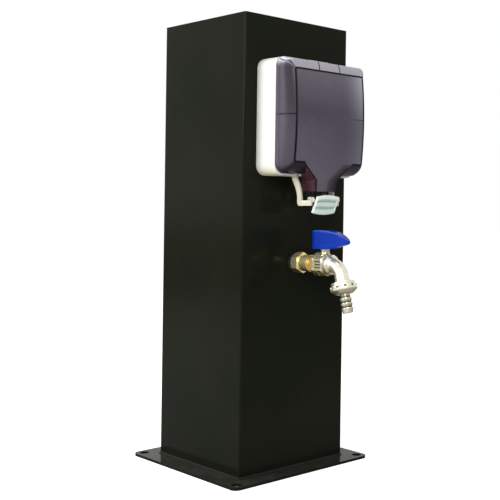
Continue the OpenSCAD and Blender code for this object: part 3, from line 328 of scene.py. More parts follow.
def smoked(name, tone_a, tone_b, cover_share):
    """The common recipe, with painted light where the mask is below zero; Alpha = the cover share, rising
    to 1 in grooves and painted shade.
    """
    made = finish(name, tone_a, tone_b, 0.26, cloud=7.0, bump=0.03, grain_scale=300, edge=0.6,
                  specular=0.17, seam_tone=GROOVE_AND_SHADE_DARK)
    tree = made.node_tree
    shader = tree.nodes["Principled BSDF"].inputs
    painted_light = product(tree, seam_mask(tree), -1.0, use_clamp=True)
    base = shader["Base Color"]
    tree.links.new(mix_in(tree, base.links[0].from_socket, EDGE_LIT, painted_light), base)
    tree.links.new(stretched(tree, seam_mask(tree), to_low=cover_share), shader["Alpha"])
    return made


finishes["smoked_plastic"] = smoked("smoked_plastic", (0.076, 0.067, 0.091), (0.09, 0.079, 0.106),
                                    COVER_SHARE)
finishes["smoked_wine"] = smoked("smoked_wine", (0.075, 0.028, 0.04), (0.1, 0.04, 0.055), NECK_SHARE)
print("smoked plastic covers", COVER_SHARE, "of what lies behind it")

# %% [markdown]
# ## Finishes on the solids
# The plain sheet, plate and pipe solids already have the right shape. They keep it and only get
# their finish. The record names a slot for every solid, so one loop can dress them all.

# %% Dress the solids
slot_of = {part["node"]: part["material_slot"] for part in frame["record"]["subparts"]}


def dress(piece, look):
    """The piece gets one material, the finish of that name."""
    piece.data.materials.clear()
    piece.data.materials.append(finishes[look])


for label, solid in nodes.items():
    dress(solid, slot_of[label])
print("dressed solids:", len(nodes))

# %% [markdown]
# ## From a grid of points to a piece
# A surface here is a grid of points: rows follow one parameter and columns the other. It could be
# drawn face by face, but the face list of a grid is only arithmetic on its row and column numbers,
# so whole arrays do it. Seams and poles are merged, and the normals are turned outwards. A grid may
# bring a mask of its grooves, painted shade and painted light, which is kept as an attribute named
# `seam` for the finishes to read.

# %% Build a mesh from grids
MERGE_WITHIN, SLIVER = 2e-6, 1e-7


def join(*parts):
    """The parts after one another, row by row."""
    return np.concatenate(parts)


def beside(*parts):
    """The parts side by side, column by column."""
    return np.concatenate(parts, axis=1)


def grid_faces(rows, cols, close_rows, close_cols):
    """Each face joins a point to its right, upper-right and upper neighbours; closed ways wrap."""
    r = np.arange(rows if close_rows else rows - 1)
    c = np.arange(cols if close_cols else cols - 1)
    i, j = np.meshgrid(r, c, indexing="ij")
    i2, j2 = (i + 1) % rows, (j + 1) % cols
    corners = [i * cols + j, i * cols + j2, i2 * cols + j2, i2 * cols + j]
    return np.stack(corners, axis=-1).reshape(-1, 4)


def make_piece(name, grids, body, slot, replaced=(), crease=38.0, look=None):
    """One mesh from grids of (points, closed in rows, closed in columns, and maybe a mask of seams and
    painted light).
    """
    points, faces, seams, start = [], [], [], 0
    for grid, close_rows, close_cols, *mask in grids:
        faces.append(grid_faces(*grid.shape[:2], close_rows, close_cols) + start)
        points.append(grid.reshape(-1, 3))
        seams.append(np.broadcast_to(mask[0] if mask else 0.0, grid.shape[:2]).ravel())
        start += len(points[-1])
    mesh = bpy.data.meshes.new(name)
    mesh.from_pydata(join(*points) * MM, [], join(*faces))
    layer = mesh.attributes.new("seam", "FLOAT", "POINT")
    layer.data.foreach_set("value", join(*seams).astype(np.float32))
    shell = bmesh.new()
    shell.from_mesh(mesh)
    bmesh.ops.remove_doubles(shell, verts=shell.verts, dist=MERGE_WITHIN)
    bmesh.ops.dissolve_degenerate(shell, edges=shell.edges, dist=SLIVER)
    bmesh.ops.recalc_face_normals(shell, faces=shell.faces)
    shell.to_mesh(mesh)
    shell.free()
    mesh.shade_smooth()
    mesh.set_sharp_from_angle(angle=math.radians(crease))
    piece = put_in_scene(name, mesh)
    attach(piece, body)
    if replaced:
        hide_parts(*replaced)
    dress(piece, look or slot)
    print(name, "faces:", len(mesh.polygons))
    return piece


print("an open grid of 3 by 4 points has", len(grid_faces(3, 4, False, False)), "faces")

# %% [markdown]
# ## Profiles with rounded corners
# Cast, turned and moulded pieces have no razor edges. A profile is written as a few corners, and
# each corner is swapped for a short curve. A Bevel modifier could do it later, but rounding the
# profile keeps the mesh small and puts every radius where the maker would put it.

# %% Round the corners of a profile and turn it
SIDE_MOST = 0.49


def soften(corners, radius, steps=5):
    """Each corner becomes the curve (1-t)^2 a + 2t(1-t) p + t^2 b between points on its two sides."""
    corners = np.asarray(corners, float)
    radius = np.broadcast_to(np.asarray(radius, float), len(corners))
    before, after = np.roll(corners, 1, axis=0), np.roll(corners, -1, axis=0)
    t = linspace(0, 1, steps)[:, None]
    pieces = []
    for p, q, n, r in zip(corners, before, after, radius):
        if r <= 0:
            pieces.append(p[None])
            continue
        way_q, way_n = q - p, n - p
        a = p + way_q * min(r / np.linalg.norm(way_q), SIDE_MOST)
        b = p + way_n * min(r / np.linalg.norm(way_n), SIDE_MOST)
        pieces.append((1 - t) ** 2 * a + 2 * t * (1 - t) * p + t ** 2 * b)
    return join(*pieces)


def around(count):
    """A column of angles once round, in equal steps."""
    return linspace(0, 2 * pi, count, endpoint=False)[:, None]


def turned(profile, centre, axis, count=96, sink=0.0):
    """Point = centre + s * axis + (r - sink) * (cos a * X + sin a * (axis cross X)), a once round."""
    axis = np.asarray(axis, float)
    side = np.eye(3)[0 if abs(axis[0]) < 0.9 else 1]
    angle = around(count)[..., None]
    spoke = cos(angle) * side + sin(angle) * np.cross(axis, side)
    return np.asarray(centre, float) + profile[:, 1:] * axis + (profile[:, 0] - sink)[..., None] * spoke


print("a softened square has", len(soften([[0, 0], [1, 0], [1, 1], [0, 1]], 0.2)), "points")

# %% [markdown]
# ## Weld at the foot
# The column is welded to the plate all round. A weld is a row of small overlapping ripples, so the
# bead is a quarter-round carried round the column's square foot, and its size swells and sinks
# with a steady ripple. A plain fillet would look machined.

# %% Carry a rippled bead round the foot
COLUMN_HALF, COLUMN_BEND, PLATE_TOP = 100.0, 3.0, 4.0
BEAD_R, RIPPLE, RIPPLE_RUN = 2.4, 0.35, 3.4


def rounded_square(half, bend, per_side, per_corner):
    """Places and outward directions round a square: straight sides joined by quarter circles."""
    flat = linspace(-1, 1, per_side) * (half - bend)
    arc = linspace(0, pi / 2, per_corner + 2)[1:-1] - pi / 2
    side = np.stack([flat, np.full(per_side, -half)], axis=1)
    corner = np.stack([cos(arc), sin(arc)], axis=1)
    one = join(side, (half - bend) * np.array([1, -1]) + bend * corner)
    way = join(np.tile([0.0, -1.0], (per_side, 1)), corner)
    quarter = [np.array([[cos(a), sin(a)], [-sin(a), cos(a)]]) for a in np.arange(4) * pi / 2]
    return join(*[one @ q for q in quarter]), join(*[way @ q for q in quarter])


def weld_bead():
    """Bead radius = base + ripple * |cos| of the run along the foot; a quarter circle at each place."""
    spot, away = rounded_square(COLUMN_HALF, COLUMN_BEND, 260, 6)
    run = np.cumsum(np.linalg.norm(np.diff(spot, axis=0, prepend=spot[:1]), axis=1))
    size = (BEAD_R + RIPPLE * np.abs(cos(pi * run / RIPPLE_RUN)))[:, None]
    lift = linspace(0, pi / 2, 7)
    hollow = 0.8 + 0.2 * cos(2 * lift) ** 2
    flat = spot[:, None, :] + (size * cos(lift) * hollow)[..., None] * away[:, None, :]
    bead = np.concatenate([flat, (PLATE_TOP + size * sin(lift) * hollow)[..., None]], axis=2)
    inner = beside(spot, np.full((len(spot), 1), PLATE_TOP))[:, None, :]
    return beside(bead, inner)


make_piece("weld_bead", [(weld_bead(), True, True)], "stand", "black_paint", ["base_weld"])

# %% [markdown]
# ## Thread of the nipple
# A few turns of bare brass thread show between the sleeve and the hexagon collar. Rings would pass
# from far away, but a thread is a helix, so the radius depends on the place along the axis minus
# the share of a turn. The ridge is a triangle wave with a slightly flattened bottom.

# %% Wind the thread
THREAD_R, THREAD_DEEP, THREAD_PITCH, THREAD_BORE = 10.45, 1.1, 1.8, 5.5
THREAD_START, THREAD_STOP, THREAD_CLIP = 31, 52, 1.25


def thread(start, stop, count=120, rows=160):
    """Radius = crest minus depth times a clipped triangle wave of (place / pitch - turn)."""
    s = linspace(start, stop, rows)
    angle = around(count)
    wave = (s / THREAD_PITCH - angle / (2 * pi)) % 1.0
    valley = np.clip(THREAD_CLIP * np.abs(2 * wave - 1), 0.0, 1.0)
    r = THREAD_R - THREAD_DEEP * valley
    r[:, [0, -1]] = THREAD_BORE
    # The valley mask paints shade into the thread's valleys.
    return place(r * cos(angle), s, TAP_Z + r * sin(angle)), True, True, valley ** 3


make_piece("thread_nipple", [thread(THREAD_START, THREAD_STOP)], "stand", "bare_brass",
           ["inlet_nipple"], crease=80)

# %% [markdown]
# ## Tap body
# The body is one casting. It starts as a hexagon round the ball, with three ribs on most flats for a
# wrench to bite on. Around the axis the distance to a flat is its half width over a cosine, and the
# grooves between the ribs are windows of that surface that sink a little.

# %% Shape the ribbed hexagon
HEX_START, HEX_END, HEX_HALF, HEX_EDGE, HEX_FLAT = 54.0, 71.5, 14.75, 1.96, 2.3
CONE_R, CONE_RISE, BALL_ROOM = 15.3, 1.25, 11.0
RIB_STEP, RIB_HALF, RIB_SOFT, RIB_LONG, RIB_END_SOFT, RIB_DEEP = 4.2, 0.65, 0.22, 6.75, 0.3, 1.0
RIBBED_FLATS = [0, 3, 4, 5]


def smooth(t):
    """S-shaped step 3t^2 - 2t^3 of a share t."""
    return t * t * (3 - 2 * t)


def window(value, half, soft_edge):
    """1 inside +-half, 0 outside, with an S-shaped edge."""
    return smooth(np.clip((half + soft_edge - np.abs(value)) / (2 * soft_edge), 0, 1))


def ribbed_hexagon(count=540):
    """Radius = half width / cos(angle to the nearest flat), cut by end cones and by rib grooves."""
    angle = around(count)
    flat = np.round(angle / (pi / 3)) % 6
    near = (angle + pi / 6) % (pi / 3) - pi / 6
    steps = linspace(0, HEX_EDGE, 8)
    s = join([HEX_START], HEX_START + steps,
             linspace(HEX_START + HEX_FLAT, HEX_END - HEX_FLAT, 14),
             HEX_END - steps[::-1], [HEX_END])
    cone = CONE_R + CONE_RISE * np.minimum(s - HEX_START, HEX_END - s)
    across = HEX_HALF * np.tan(near)
    groove = sum(window(across - k * RIB_STEP, RIB_HALF, RIB_SOFT) for k in (-1, 0, 1))
    along = window(s - (HEX_START + HEX_END) / 2, RIB_LONG, RIB_END_SOFT)
    groove = groove * along * np.isin(flat, RIBBED_FLATS)
    r = np.minimum(HEX_HALF / cos(near), cone) - RIB_DEEP * groove
    r[:, [0, -1]] = BALL_ROOM
    # The groove mask also goes to the finish, where it paints shade into the grooves.
    return place(r * cos(angle), s, TAP_Z + r * sin(angle)), True, True, groove


hexagon_body = ribbed_hexagon()
print("ribbed hexagon grid:", hexagon_body[0].shape)

# %% [markdown]
# After the hexagon come a shoulder ring, the elbow and the outlet. One path runs down the middle,
# straight, round the bend and straight again. A circle whose radius changes along that path gives
# the outside with every step run out softly, and a second, smaller one on the way back is the bore.
# The stem's boss is a short turned neck on top of the hexagon.

# %% Carry a changing circle along the spout
STEM_OUT = 64.5
BEND_OUT, BEND_R, BEND_TURN = 80.0, 20.0, math.radians(74)
OUTLET_LEN, WATER_R, BALL_RUN = 19.0, 5.6, 2.2
STRAIGHT = BEND_OUT - HEX_END
BEND_LEN = BEND_R * BEND_TURN
OUTLET_AXIS = np.array([0.0, -cos(BEND_TURN), -sin(BEND_TURN)])
OUTLET_START = place(0, BEND_OUT + BEND_R * sin(BEND_TURN), TAP_Z - BEND_R * (1 - cos(BEND_TURN)))
CASTING = [(0, 13.6), (0.6, 14.5), (7.4, 14.5), (8.3, 13.9), (9.2, 11.6), (10.6, 10.4), (13, 10.0),
           (34, 10.0), (36, 10.3), (42.8, 10.4), (43.3, 12.9), (53.4, 12.9)]
BOSS = [[4.3, 8.0], [9.6, 8.0], [8.0, 13.8], [6.5, 16.2], [6.5, 22.5], [4.3, 22.5]]
BOSS_BENDS = [0, 0, 1.6, 2.2, 0.5, 0]


def spout_path(run):
    """Distance out, height and heading of the middle line: level, then an arc, then straight."""
    heading = np.clip((run - STRAIGHT) / BEND_R, 0, BEND_TURN)
    tail = np.clip(run - STRAIGHT - BEND_LEN, 0, None)
    out = HEX_END + np.minimum(run, STRAIGHT) + BEND_R * sin(heading)
    z = TAP_Z - BEND_R * (1 - cos(heading))
    return out + tail * cos(heading), z - tail * sin(heading), heading


def spout(stations, radii, rows=230, count=96, blur=5):
    """Point = middle + r(run) * (cos a * width + sin a * upright), out along r and back in the bore."""
    run = linspace(0, STRAIGHT + BEND_LEN + OUTLET_LEN, rows)
    weight = np.hanning(blur + 2)[1:-1]
    r = np.interp(run, stations, radii)
    r = np.convolve(np.pad(r, blur // 2, mode="edge"), weight / weight.sum(), mode="valid")
    back = linspace(run[-1], 0, 60)
    r = join(r, np.where(back < BALL_RUN, BALL_ROOM, WATER_R))
    out, z, heading = spout_path(join(run, back))
    angle = around(count)
    rise = r * sin(angle)
    return place(r * cos(angle), out + rise * sin(heading), z + rise * cos(heading))


boss = turned(soften(BOSS, BOSS_BENDS, 7), place(0, STEM_OUT, TAP_Z), (0, 0, 1), 64)
# The boss's mask value 0.5 is painted shade from the handle above it.
make_piece("tap_casting",
           [hexagon_body, (spout(*np.transpose(CASTING)), True, True), (boss, True, True, 0.5)],
           "stand", "nickel_plate", ["tap_body"], crease=50)

# %% [markdown]
# ## Union nut and hose tail
# The nut is turned and then notched round its rim so that fingers can grip it. The notches are
# not cut with booleans: the radius simply sinks inside a window of angle and place, with soft
# sides. The hose tail is a plain turned piece with three barbs and an open bore.

# %% Turn the nut
NOTCHES, NOTCH_DEEP, NOTCH_HALF, NOTCH_AT, NOTCH_LONG, NOTCH_SOFT = 10, 1.6, 2.2, 15.6, 1.4, 0.35
RIM_R, RIM_ROOT, NUT_STEPS = 19.5, 17.3, 300


def notch_mask(angle, r, s):
    """1 where a notch's window of arc meets its window along the axis, on the rim only."""
    share = (angle * NOTCHES / (2 * pi)) % 1.0 - 0.5
    arc = share * 2 * pi / NOTCHES * RIM_R
    along = window(s - NOTCH_AT, NOTCH_LONG, NOTCH_SOFT)
    return window(arc, NOTCH_HALF, NOTCH_SOFT) * along * (r > RIM_ROOT)


nut_profile = soften(
    [[13.1, 9.0], [17.0, 9.0], [17.0, 14.0], [RIM_R, 14.0], [RIM_R, 14.6], [RIM_R, 15.1],
     [RIM_R, 16.1], [RIM_R, 16.7], [RIM_R, 17.4], [RIM_R, 20.5], [12.8, 26.0], [8.8, 26.0],
     [8.8, 23.8], [13.1, 23.8]],
    [0.3, 0.9, 0.3, 0.8, 0, 0, 0, 0, 0, 1.2, 0.8, 0.4, 0.2, 0.2])
notch = notch_mask(around(NUT_STEPS), nut_profile[:, 0], nut_profile[:, 1])
nut_skin = turned(nut_profile, OUTLET_START, OUTLET_AXIS, NUT_STEPS, NOTCH_DEEP * notch)
# The notch mask also paints shade into the notches.
make_piece("notched_nut", [(nut_skin, True, True, notch)], "hose_nut", "nickel_plate", ["union_nut"])

# %% [markdown]
# The tail's profile is a flange, a shank and three saw teeth. Painted shade darkens the whole tail a
# little, and more under each tooth, where the mask is raised.

# %% Turn the hose tail
BARB_R, TAIL_R, TAIL_BORE, TAIL_END = 8.5, 7.2, 5.5, 53.0
FLANGE_R, FLANGE_LOW, FLANGE_TOP = 12.5, 21.2, 23.7
BARB_START, BARB_STEP, BARB_ROOT, BARB_FLAT, BARB_RUN, BARB_FOOT = 32.0, 7.0, 1.2, 1.4, 5.2, 0.3
SHADED_R, SHADE_BACK, SHADE_HALF, SHADE_SOFT = 8.0, 0.9, 1.3, 0.6
barb_at = BARB_START + BARB_STEP * np.arange(3)
barb_corners = join(*[[[TAIL_R, s - BARB_ROOT], [TAIL_R, s], [BARB_R, s], [BARB_R, s + BARB_FLAT],
                       [TAIL_R + BARB_FOOT, s + BARB_RUN]] for s in barb_at])
flange = [[TAIL_BORE, FLANGE_LOW], [FLANGE_R, FLANGE_LOW], [FLANGE_R, FLANGE_TOP], [TAIL_R, FLANGE_TOP]]
tail_profile = soften(join(flange, barb_corners, [[TAIL_R, TAIL_END], [TAIL_BORE, TAIL_END]]),
                      0.3, steps=4)
barb_shade = window(tail_profile[:, 1:] - (barb_at - SHADE_BACK), SHADE_HALF, SHADE_SOFT).sum(axis=1)
tail_mask = 0.25 + 0.75 * barb_shade * (tail_profile[:, 0] < SHADED_R)
make_piece("barbed_tail", [(turned(tail_profile, OUTLET_START, OUTLET_AXIS), True, True, tail_mask)],
           "stand", "nickel_plate", ["hose_tail"])

# %% [markdown]
# ## Tap handle
# The handle is a moulded teardrop: round behind the stem, drawn out to a blunt tip, domed on top
# and hollow round the gland. Seen from the stem every direction meets its edge once, so the whole
# skin is a polar surface: one angle round the stem and one walk from pocket to edge to top. The
# rounded upper edge gets a painted highlight: a lighter blue by the mask of seams and painted light.

# %% Walk the handle's skin round the stem
TOP_LINE = [(-22.5, 355.8), (-19.5, 357.0), (-16, 357.8), (-11, 358.3), (-5.6, 358.5), (1, 358.5),
            (8, 358.2), (16, 357.4), (23.5, 356.0), (31, 353.8), (37.5, 351.0), (43, 348.2),
            (47, 345.8), (50, 343.6)]
LOW_LINE = [(-22.5, 331.4), (9.9, 331.4), (12.9, 331.8), (18.9, 333), (24, 334.2), (30, 335.8),
            (36.5, 337.2), (43, 338.6), (48, 340.0), (50, 341.2)]
BACK_AT, BACK_R, TIP_AT, TIP_R, SIDE_BOW = -10.5, 12.0, 46.5, 3.5, 0.6
POCKET_R, POCKET_ROOF, POCKET_RIM, LOW_EDGE = 8.9, 337.6, 9.6, 0.7
POCKET_LIP_R, POCKET_LIP_TOP, POCKET_LIP_LOW = 9.1, 331.8, 331.5
SCREW_R, SCREW_RIM, SCREW_CHAMFER, SCREW_FLOOR, TOP_EDGE = 4.6, 5.0, 0.5, 349.6, 2.4


def teardrop_reach(angle):
    """Distance from the stem to the outline: a back circle, a tip circle and bowed sides."""
    back = linspace(pi / 2, 3 * pi / 2, 60)
    tip = linspace(-pi / 2, pi / 2, 40)
    t = linspace(0, 1, 40)[1:-1]
    bow = SIDE_BOW * sin(pi * t)
    long, taper = TIP_AT - BACK_AT, BACK_R - TIP_R
    ahead = join(BACK_AT + BACK_R * cos(back), BACK_AT + long * t,
                 TIP_AT + TIP_R * cos(tip), TIP_AT - long * t)
    across = join(BACK_R * sin(back), -BACK_R + taper * t - bow, TIP_R * sin(tip),
                  TIP_R + taper * t + bow)
    polar = np.unwrap(np.arctan2(across, ahead))
    order = np.argsort(polar)
    return np.interp(angle, polar[order], np.hypot(ahead, across)[order], period=2 * pi)


def height_on(line, r, angle):
    """Height of a side-view line at the places r away from the stem in that direction."""
    return np.interp(r * cos(angle), *np.transpose(line))


def handle_skin(count=160, lit_row=34, lit_rows=7):
    """Each direction walks: pocket roof, pocket wall, underside, side, rounded edge, top, screw bore."""
    angle = around(count)
    reach = teardrop_reach(angle)
    under_r = POCKET_RIM + (reach - LOW_EDGE - POCKET_RIM) * linspace(0, 1, 22)
    low = height_on(LOW_LINE, reach, angle)
    edge = np.minimum(TOP_EDGE, reach * 0.3)
    high = height_on(TOP_LINE, reach - edge, angle)
    edge = np.minimum(edge, 0.45 * (high - low))
    side_z = low + LOW_EDGE + (high - edge - low - LOW_EDGE) * linspace(0, 1, 8)
    bend = linspace(0, pi / 2, 8)[1:]
    top_r = SCREW_RIM + (reach - edge - SCREW_RIM) * linspace(1, 0, 16)[1:]
    top_z = height_on(TOP_LINE, top_r, angle)
    ones = np.ones((count, 1))
    r = beside(ones * [0, POCKET_R, POCKET_R, POCKET_LIP_R], under_r, reach * np.ones((1, 8)),
               reach - edge * (1 - cos(bend)), top_r, ones * [SCREW_R, SCREW_R, 0])
    z = beside(ones * [POCKET_ROOF, POCKET_ROOF, POCKET_LIP_TOP, POCKET_LIP_LOW],
               height_on(LOW_LINE, under_r, angle), side_z, high - edge * (1 - sin(bend)),
               top_z, top_z[:, -1:] - SCREW_CHAMFER, ones * [SCREW_FLOOR, SCREW_FLOOR])
    painted_highlight = np.zeros(r.shape[1])
    painted_highlight[lit_row:lit_row + lit_rows] = 0.5 * sin(linspace(0, pi, lit_rows))
    return place(r * sin(angle), STEM_OUT + r * cos(angle), z), True, False, painted_highlight


make_piece("teardrop_handle", [handle_skin()], "tap_lever", "blue_plastic", ["handle"], crease=42)

# %% [markdown]
# ## Cover of the dispenser
# The smoked cover is a moulded lid: a straight rim against the white shell, a bevel that swells a
# little, then a lip, a groove and a ledge for the front panel. Every stage is a rounded rectangle,
# so the lid is a stack of such rings. Fine marks cross the rim and the bevel at the sides, twice
# along the top, and as a mitre in each corner, so a ring also tells where its marks are.

# %% Rings of the cover
MID_Z, PANEL_MID_Z = 521.5, 519.75
RIM = (77.5, 82.5, 15.0, MID_Z)
SIDE_MARK_Z, TOP_MARK_X, MARK_ROOM = 521.0, 20.0, 1.6
DENT = np.array([-1.1, -0.6, 0.0, 0.6, 1.1])
DENT_DEEP = np.array([0.0, 0.85, 1.0, 0.85, 0.0])


def marked_run(low, high, marks, per_part):
    """Even steps from low to high that stop to lay five close points across each mark."""
    stops = [low] + [m + s for m in marks for s in (-MARK_ROOM, MARK_ROOM)] + [high]
    parts, deep = [], []
    for k in range(len(stops) // 2):
        parts.append(linspace(stops[2 * k], stops[2 * k + 1], per_part))
        deep.append(np.zeros(per_part))
        if k < len(marks):
            parts.append(marks[k] + DENT)
            deep.append(DENT_DEEP)
    return join(*parts), join(*deep)


def ring(half_w, half_h, bend, mid_z, per_corner=14, per_low=24):
    """Widths, heights and mark depths round a rounded rectangle, from the right side upwards."""
    cx, cz = half_w - bend, half_h - bend
    run_z, deep_z = marked_run(mid_z - half_h + bend, mid_z + half_h - bend, [SIDE_MARK_Z], 8)
    run_x, deep_x = marked_run(-half_w + bend, half_w - bend, [-TOP_MARK_X, TOP_MARK_X], 7)
    arc = linspace(0, pi / 2, per_corner + 2)[1:-1]
    c, s = bend * cos(arc), bend * sin(arc)
    mitre = 1.0 * (np.arange(per_corner) == per_corner // 2)
    x = join(np.full(len(run_z), half_w), cx + c, run_x[::-1], -cx - s,
             np.full(len(run_z), -half_w), -cx - c, linspace(-cx, cx, per_low), cx + s)
    z = join(run_z, mid_z + cz + s, np.full(len(run_x), mid_z + half_h), mid_z + cz + c,
             run_z[::-1], mid_z - cz - s, np.full(per_low, mid_z - half_h), mid_z - cz - c)
    deep = join(deep_z, mitre, deep_x[::-1], mitre[::-1], deep_z[::-1], mitre,
                np.zeros(per_low), mitre[::-1])
    return x, z, deep


print("columns of a cover ring:", len(ring(*RIM)[0]))

# %% [markdown]
# The crown makes the front rings follow a gentle arc in height, and along the top the bevel starts
# further out, which leaves a steep brow above the panel. The hinge needs room there, so the rim's
# back edge steps forward, and further in the middle where the shell's own knuckle sits. At the
# bottom the rim ends a little above the shell's edge.

# %% Stack the rings into the lid
CROWN_OUT, CROWN_R = 74.0, 542.4
BROW_OUT, INNER_BROW_OUT = 65.0, 58.0
HINGE_OUT, HINGE_Z, KNUCKLE_R, KNUCKLE_X = 42.5, 601.2, 2.8, 18.6
HINGE_STEP_Z, HINGE_GAP, KNUCKLE_STEP_Z, KNUCKLE_GAP = 597.4, 0.05, 590, 0.4
PUSH, MARK_BACK = 0.7, 0.6
CREASE = (76.9, 79.9, 14.4, 519.6, 53.3)
LIP = (66.9, 66.7, 3.8, PANEL_MID_Z, 0.5)
INNER_CREASE = (75.0, 76.75, 12.5, 518.25, 50.6)
INNER_LIP = (62.6, 62.75, 1.2, PANEL_MID_Z, 5.0)
BEVEL_SHARES = [0, 0.08, 0.18, 0.3, 0.42, 0.54, 0.66, 0.78, 0.88, 0.95, 1.0]
RIM_RINGS = [(76.9, 81.9, 14.4, MID_Z, 41.4), (77.35, 82.35, 14.9, MID_Z, 41.6), (*RIM, 42.1),
             (77.5, 81.7, 15.0, 520.7, 46.0), (77.5, 80.9, 15.0, 519.9, 51.2),
             (77.38, 80.6, 14.9, 519.75, 52.3)]
LIP_RINGS = [(66.8, 66.6, 3.7, 0.15), (66.65, 66.5, 3.5, 0.1), (66.55, 66.4, 3.4, 0.4),
             (66.55, 66.4, 3.4, 2.6), (62.6, 62.75, 1.2, 2.6), (62.6, 62.75, 1.2, 5.0)]
BACK_RINGS = [(75.0, 78.5, 12.5, 520.0, 46.0), (75.0, 79.25, 12.5, 520.75, 41.4)]


def crown(z):
    """Distance out of the crowned front at height z: a circular arc about the panel's middle."""
    return CROWN_OUT - (z - PANEL_MID_Z) ** 2 / (2 * CROWN_R)


def ramp(value, start, stop):
    """0 up to start, 1 from stop on, straight between them; start may be the larger one."""
    return np.clip((value - start) / (stop - start), 0, 1)


def end_share(z, half_h, bend, mid_z, end):
    """0 along the sides, rising over the corners to 1 along the top (end 1) or the bottom (end -1)."""
    return smooth(ramp(end * (z - mid_z), half_h - bend, half_h))


def rim_ring(half_w, half_h, bend, mid_z, out):
    """A ring at one distance out, or as far out as the hinge's knuckles need along the top."""
    x, z, _ = ring(half_w, half_h, bend, mid_z)
    near_top = np.where(z > HINGE_STEP_Z, HINGE_OUT + HINGE_GAP, 0.0)
    by_knuckle = (z > KNUCKLE_STEP_Z) & (np.abs(x) < KNUCKLE_X)
    behind = np.where(by_knuckle, HINGE_OUT + KNUCKLE_R + KNUCKLE_GAP, near_top)
    return place(x, np.maximum(out, behind), z)


def lip_ring(half_w, half_h, bend, under):
    """A ring round the panel's middle that lies under the crown by that much."""
    x, z, _ = ring(half_w, half_h, bend, PANEL_MID_Z)
    return place(x, crown(z) - under, z)


def bevel_rings(start, stop, shares, swell, dent, brow):
    """Rings between the rim and the lip: a straight blend pushed outwards by swell * 4t(1-t)."""
    rings = []
    for t in shares:
        half_w, half_h, bend, mid_z = (1 - t) * np.array(start[:4]) + t * np.array(stop[:4])
        bulge = PUSH * swell * 4 * t * (1 - t)
        x, z, deep = ring(half_w + bulge, half_h + bulge, bend, mid_z)
        first = start[4] + (brow - start[4]) * end_share(z, half_h + bulge, bend, mid_z, 1)
        far = (1 - t) * first + t * (crown(z) - stop[4]) + bulge
        shrink = 1 - dent * deep / np.hypot(x, z - mid_z)
        rings.append(place(x * shrink, far - MARK_BACK * dent * deep, mid_z + (z - mid_z) * shrink))
    return rings


lid_rows = [rim_ring(*r) for r in RIM_RINGS]
lid_rows += bevel_rings(CREASE, LIP, BEVEL_SHARES, 1.5, 0.9, BROW_OUT)
lid_rows += [lip_ring(*r) for r in LIP_RINGS]
lid_rows += bevel_rings(INNER_CREASE, INNER_LIP, [0.9, 0.6, 0.3, 0.0], 1.2, 0.0, INNER_BROW_OUT)
lid_rows += [rim_ring(*r) for r in BACK_RINGS]
print("rings of the lid:", len(lid_rows))

# %% [markdown]
# The lid's tones are one mask. Grooves and marks are dark. Painted shade darkens the lower end and,
# a little, the sides of the bevel towards the top, and painted light makes the brow and the upper
# rim pale along their thin edge. The cover's two hinge knuckles are short turned bars.

# %% Shade the lid and add its knuckles
FIRST_BEVEL_ROW = len(RIM_RINGS)
FIRST_GROOVE_ROW = FIRST_BEVEL_ROW + len(BEVEL_SHARES) - 1
GROOVE_ROWS = 5
MARK_DARK, LOW_PAINTED_SHADE, SIDE_PAINTED_SHADE, SIDE_GAIN = 0.9, 0.95, 0.4, 0.025
BROW_PAINTED_LIGHT, TOP_RIM_PAINTED_LIGHT, RIM_PAINTED_LIGHT, LEAST_DARK = 0.54, 0.95, 0.04, 0.03
SIDE_RISE_Z = (490.0, 540.0)
COVER_KNUCKLE_X, COVER_KNUCKLE_HALF, ROD_HOLE = 32.2, 13.8, 1.55


def lid_mask(count):
    """Above zero: grooves, marks and painted shade on the lower end and the bevel's sides; below zero:
    painted light on brow and rim.
    """
    _, z, deep = ring(*RIM)
    row = np.arange(count)[:, None]
    outer = row < FIRST_GROOVE_ROW
    bevel = (row >= FIRST_BEVEL_ROW) & outer
    rims = (row >= 2) & (row < FIRST_BEVEL_ROW)
    groove = (row >= FIRST_GROOVE_ROW) & (row < FIRST_GROOVE_ROW + GROOVE_ROWS)
    low = LOW_PAINTED_SHADE * end_share(z, *RIM[1:], -1) ** 2 * outer
    mark = MARK_DARK * (bevel | (row >= 3) & rims) * deep
    dark = np.maximum(np.maximum(1.0 * groove, mark), low)
    top = end_share(z, *RIM[1:], 1)
    shaded = (row >= FIRST_BEVEL_ROW - 2) & outer
    # Painted shade on the bevel's sides, more towards the top.
    side = (SIDE_PAINTED_SHADE + SIDE_GAIN * (row - FIRST_BEVEL_ROW)) * shaded * (1 - top)
    side = side * (0.15 + 0.85 * ramp(z, *SIDE_RISE_Z))
    painted_light = top * (BROW_PAINTED_LIGHT * bevel + TOP_RIM_PAINTED_LIGHT * rims) + RIM_PAINTED_LIGHT * rims
    return np.where(dark > LEAST_DARK, np.maximum(dark, side), side - painted_light)


def disc(out, z, mid_x, half_x, r, hole, edge=0.5, steps=4, count=48):
    """A ring across the width: a rectangle with rounded corners turned about its axis."""
    low, high = mid_x - half_x, mid_x + half_x
    profile = soften([[hole, low], [r, low], [r, high], [hole, high]], edge, steps)
    return turned(profile, place(0, out, z), (1, 0, 0), count), True, True


knuckles = [disc(HINGE_OUT, HINGE_Z, mid_x, COVER_KNUCKLE_HALF, KNUCKLE_R, ROD_HOLE,
                 edge=0.3, steps=3, count=40) for mid_x in (COVER_KNUCKLE_X, -COVER_KNUCKLE_X)]
make_piece("smoked_cover", [(np.stack(lid_rows), True, True, lid_mask(len(lid_rows))), *knuckles],
           "cover", "smoked_plastic", ["cover_frame"], crease=40)

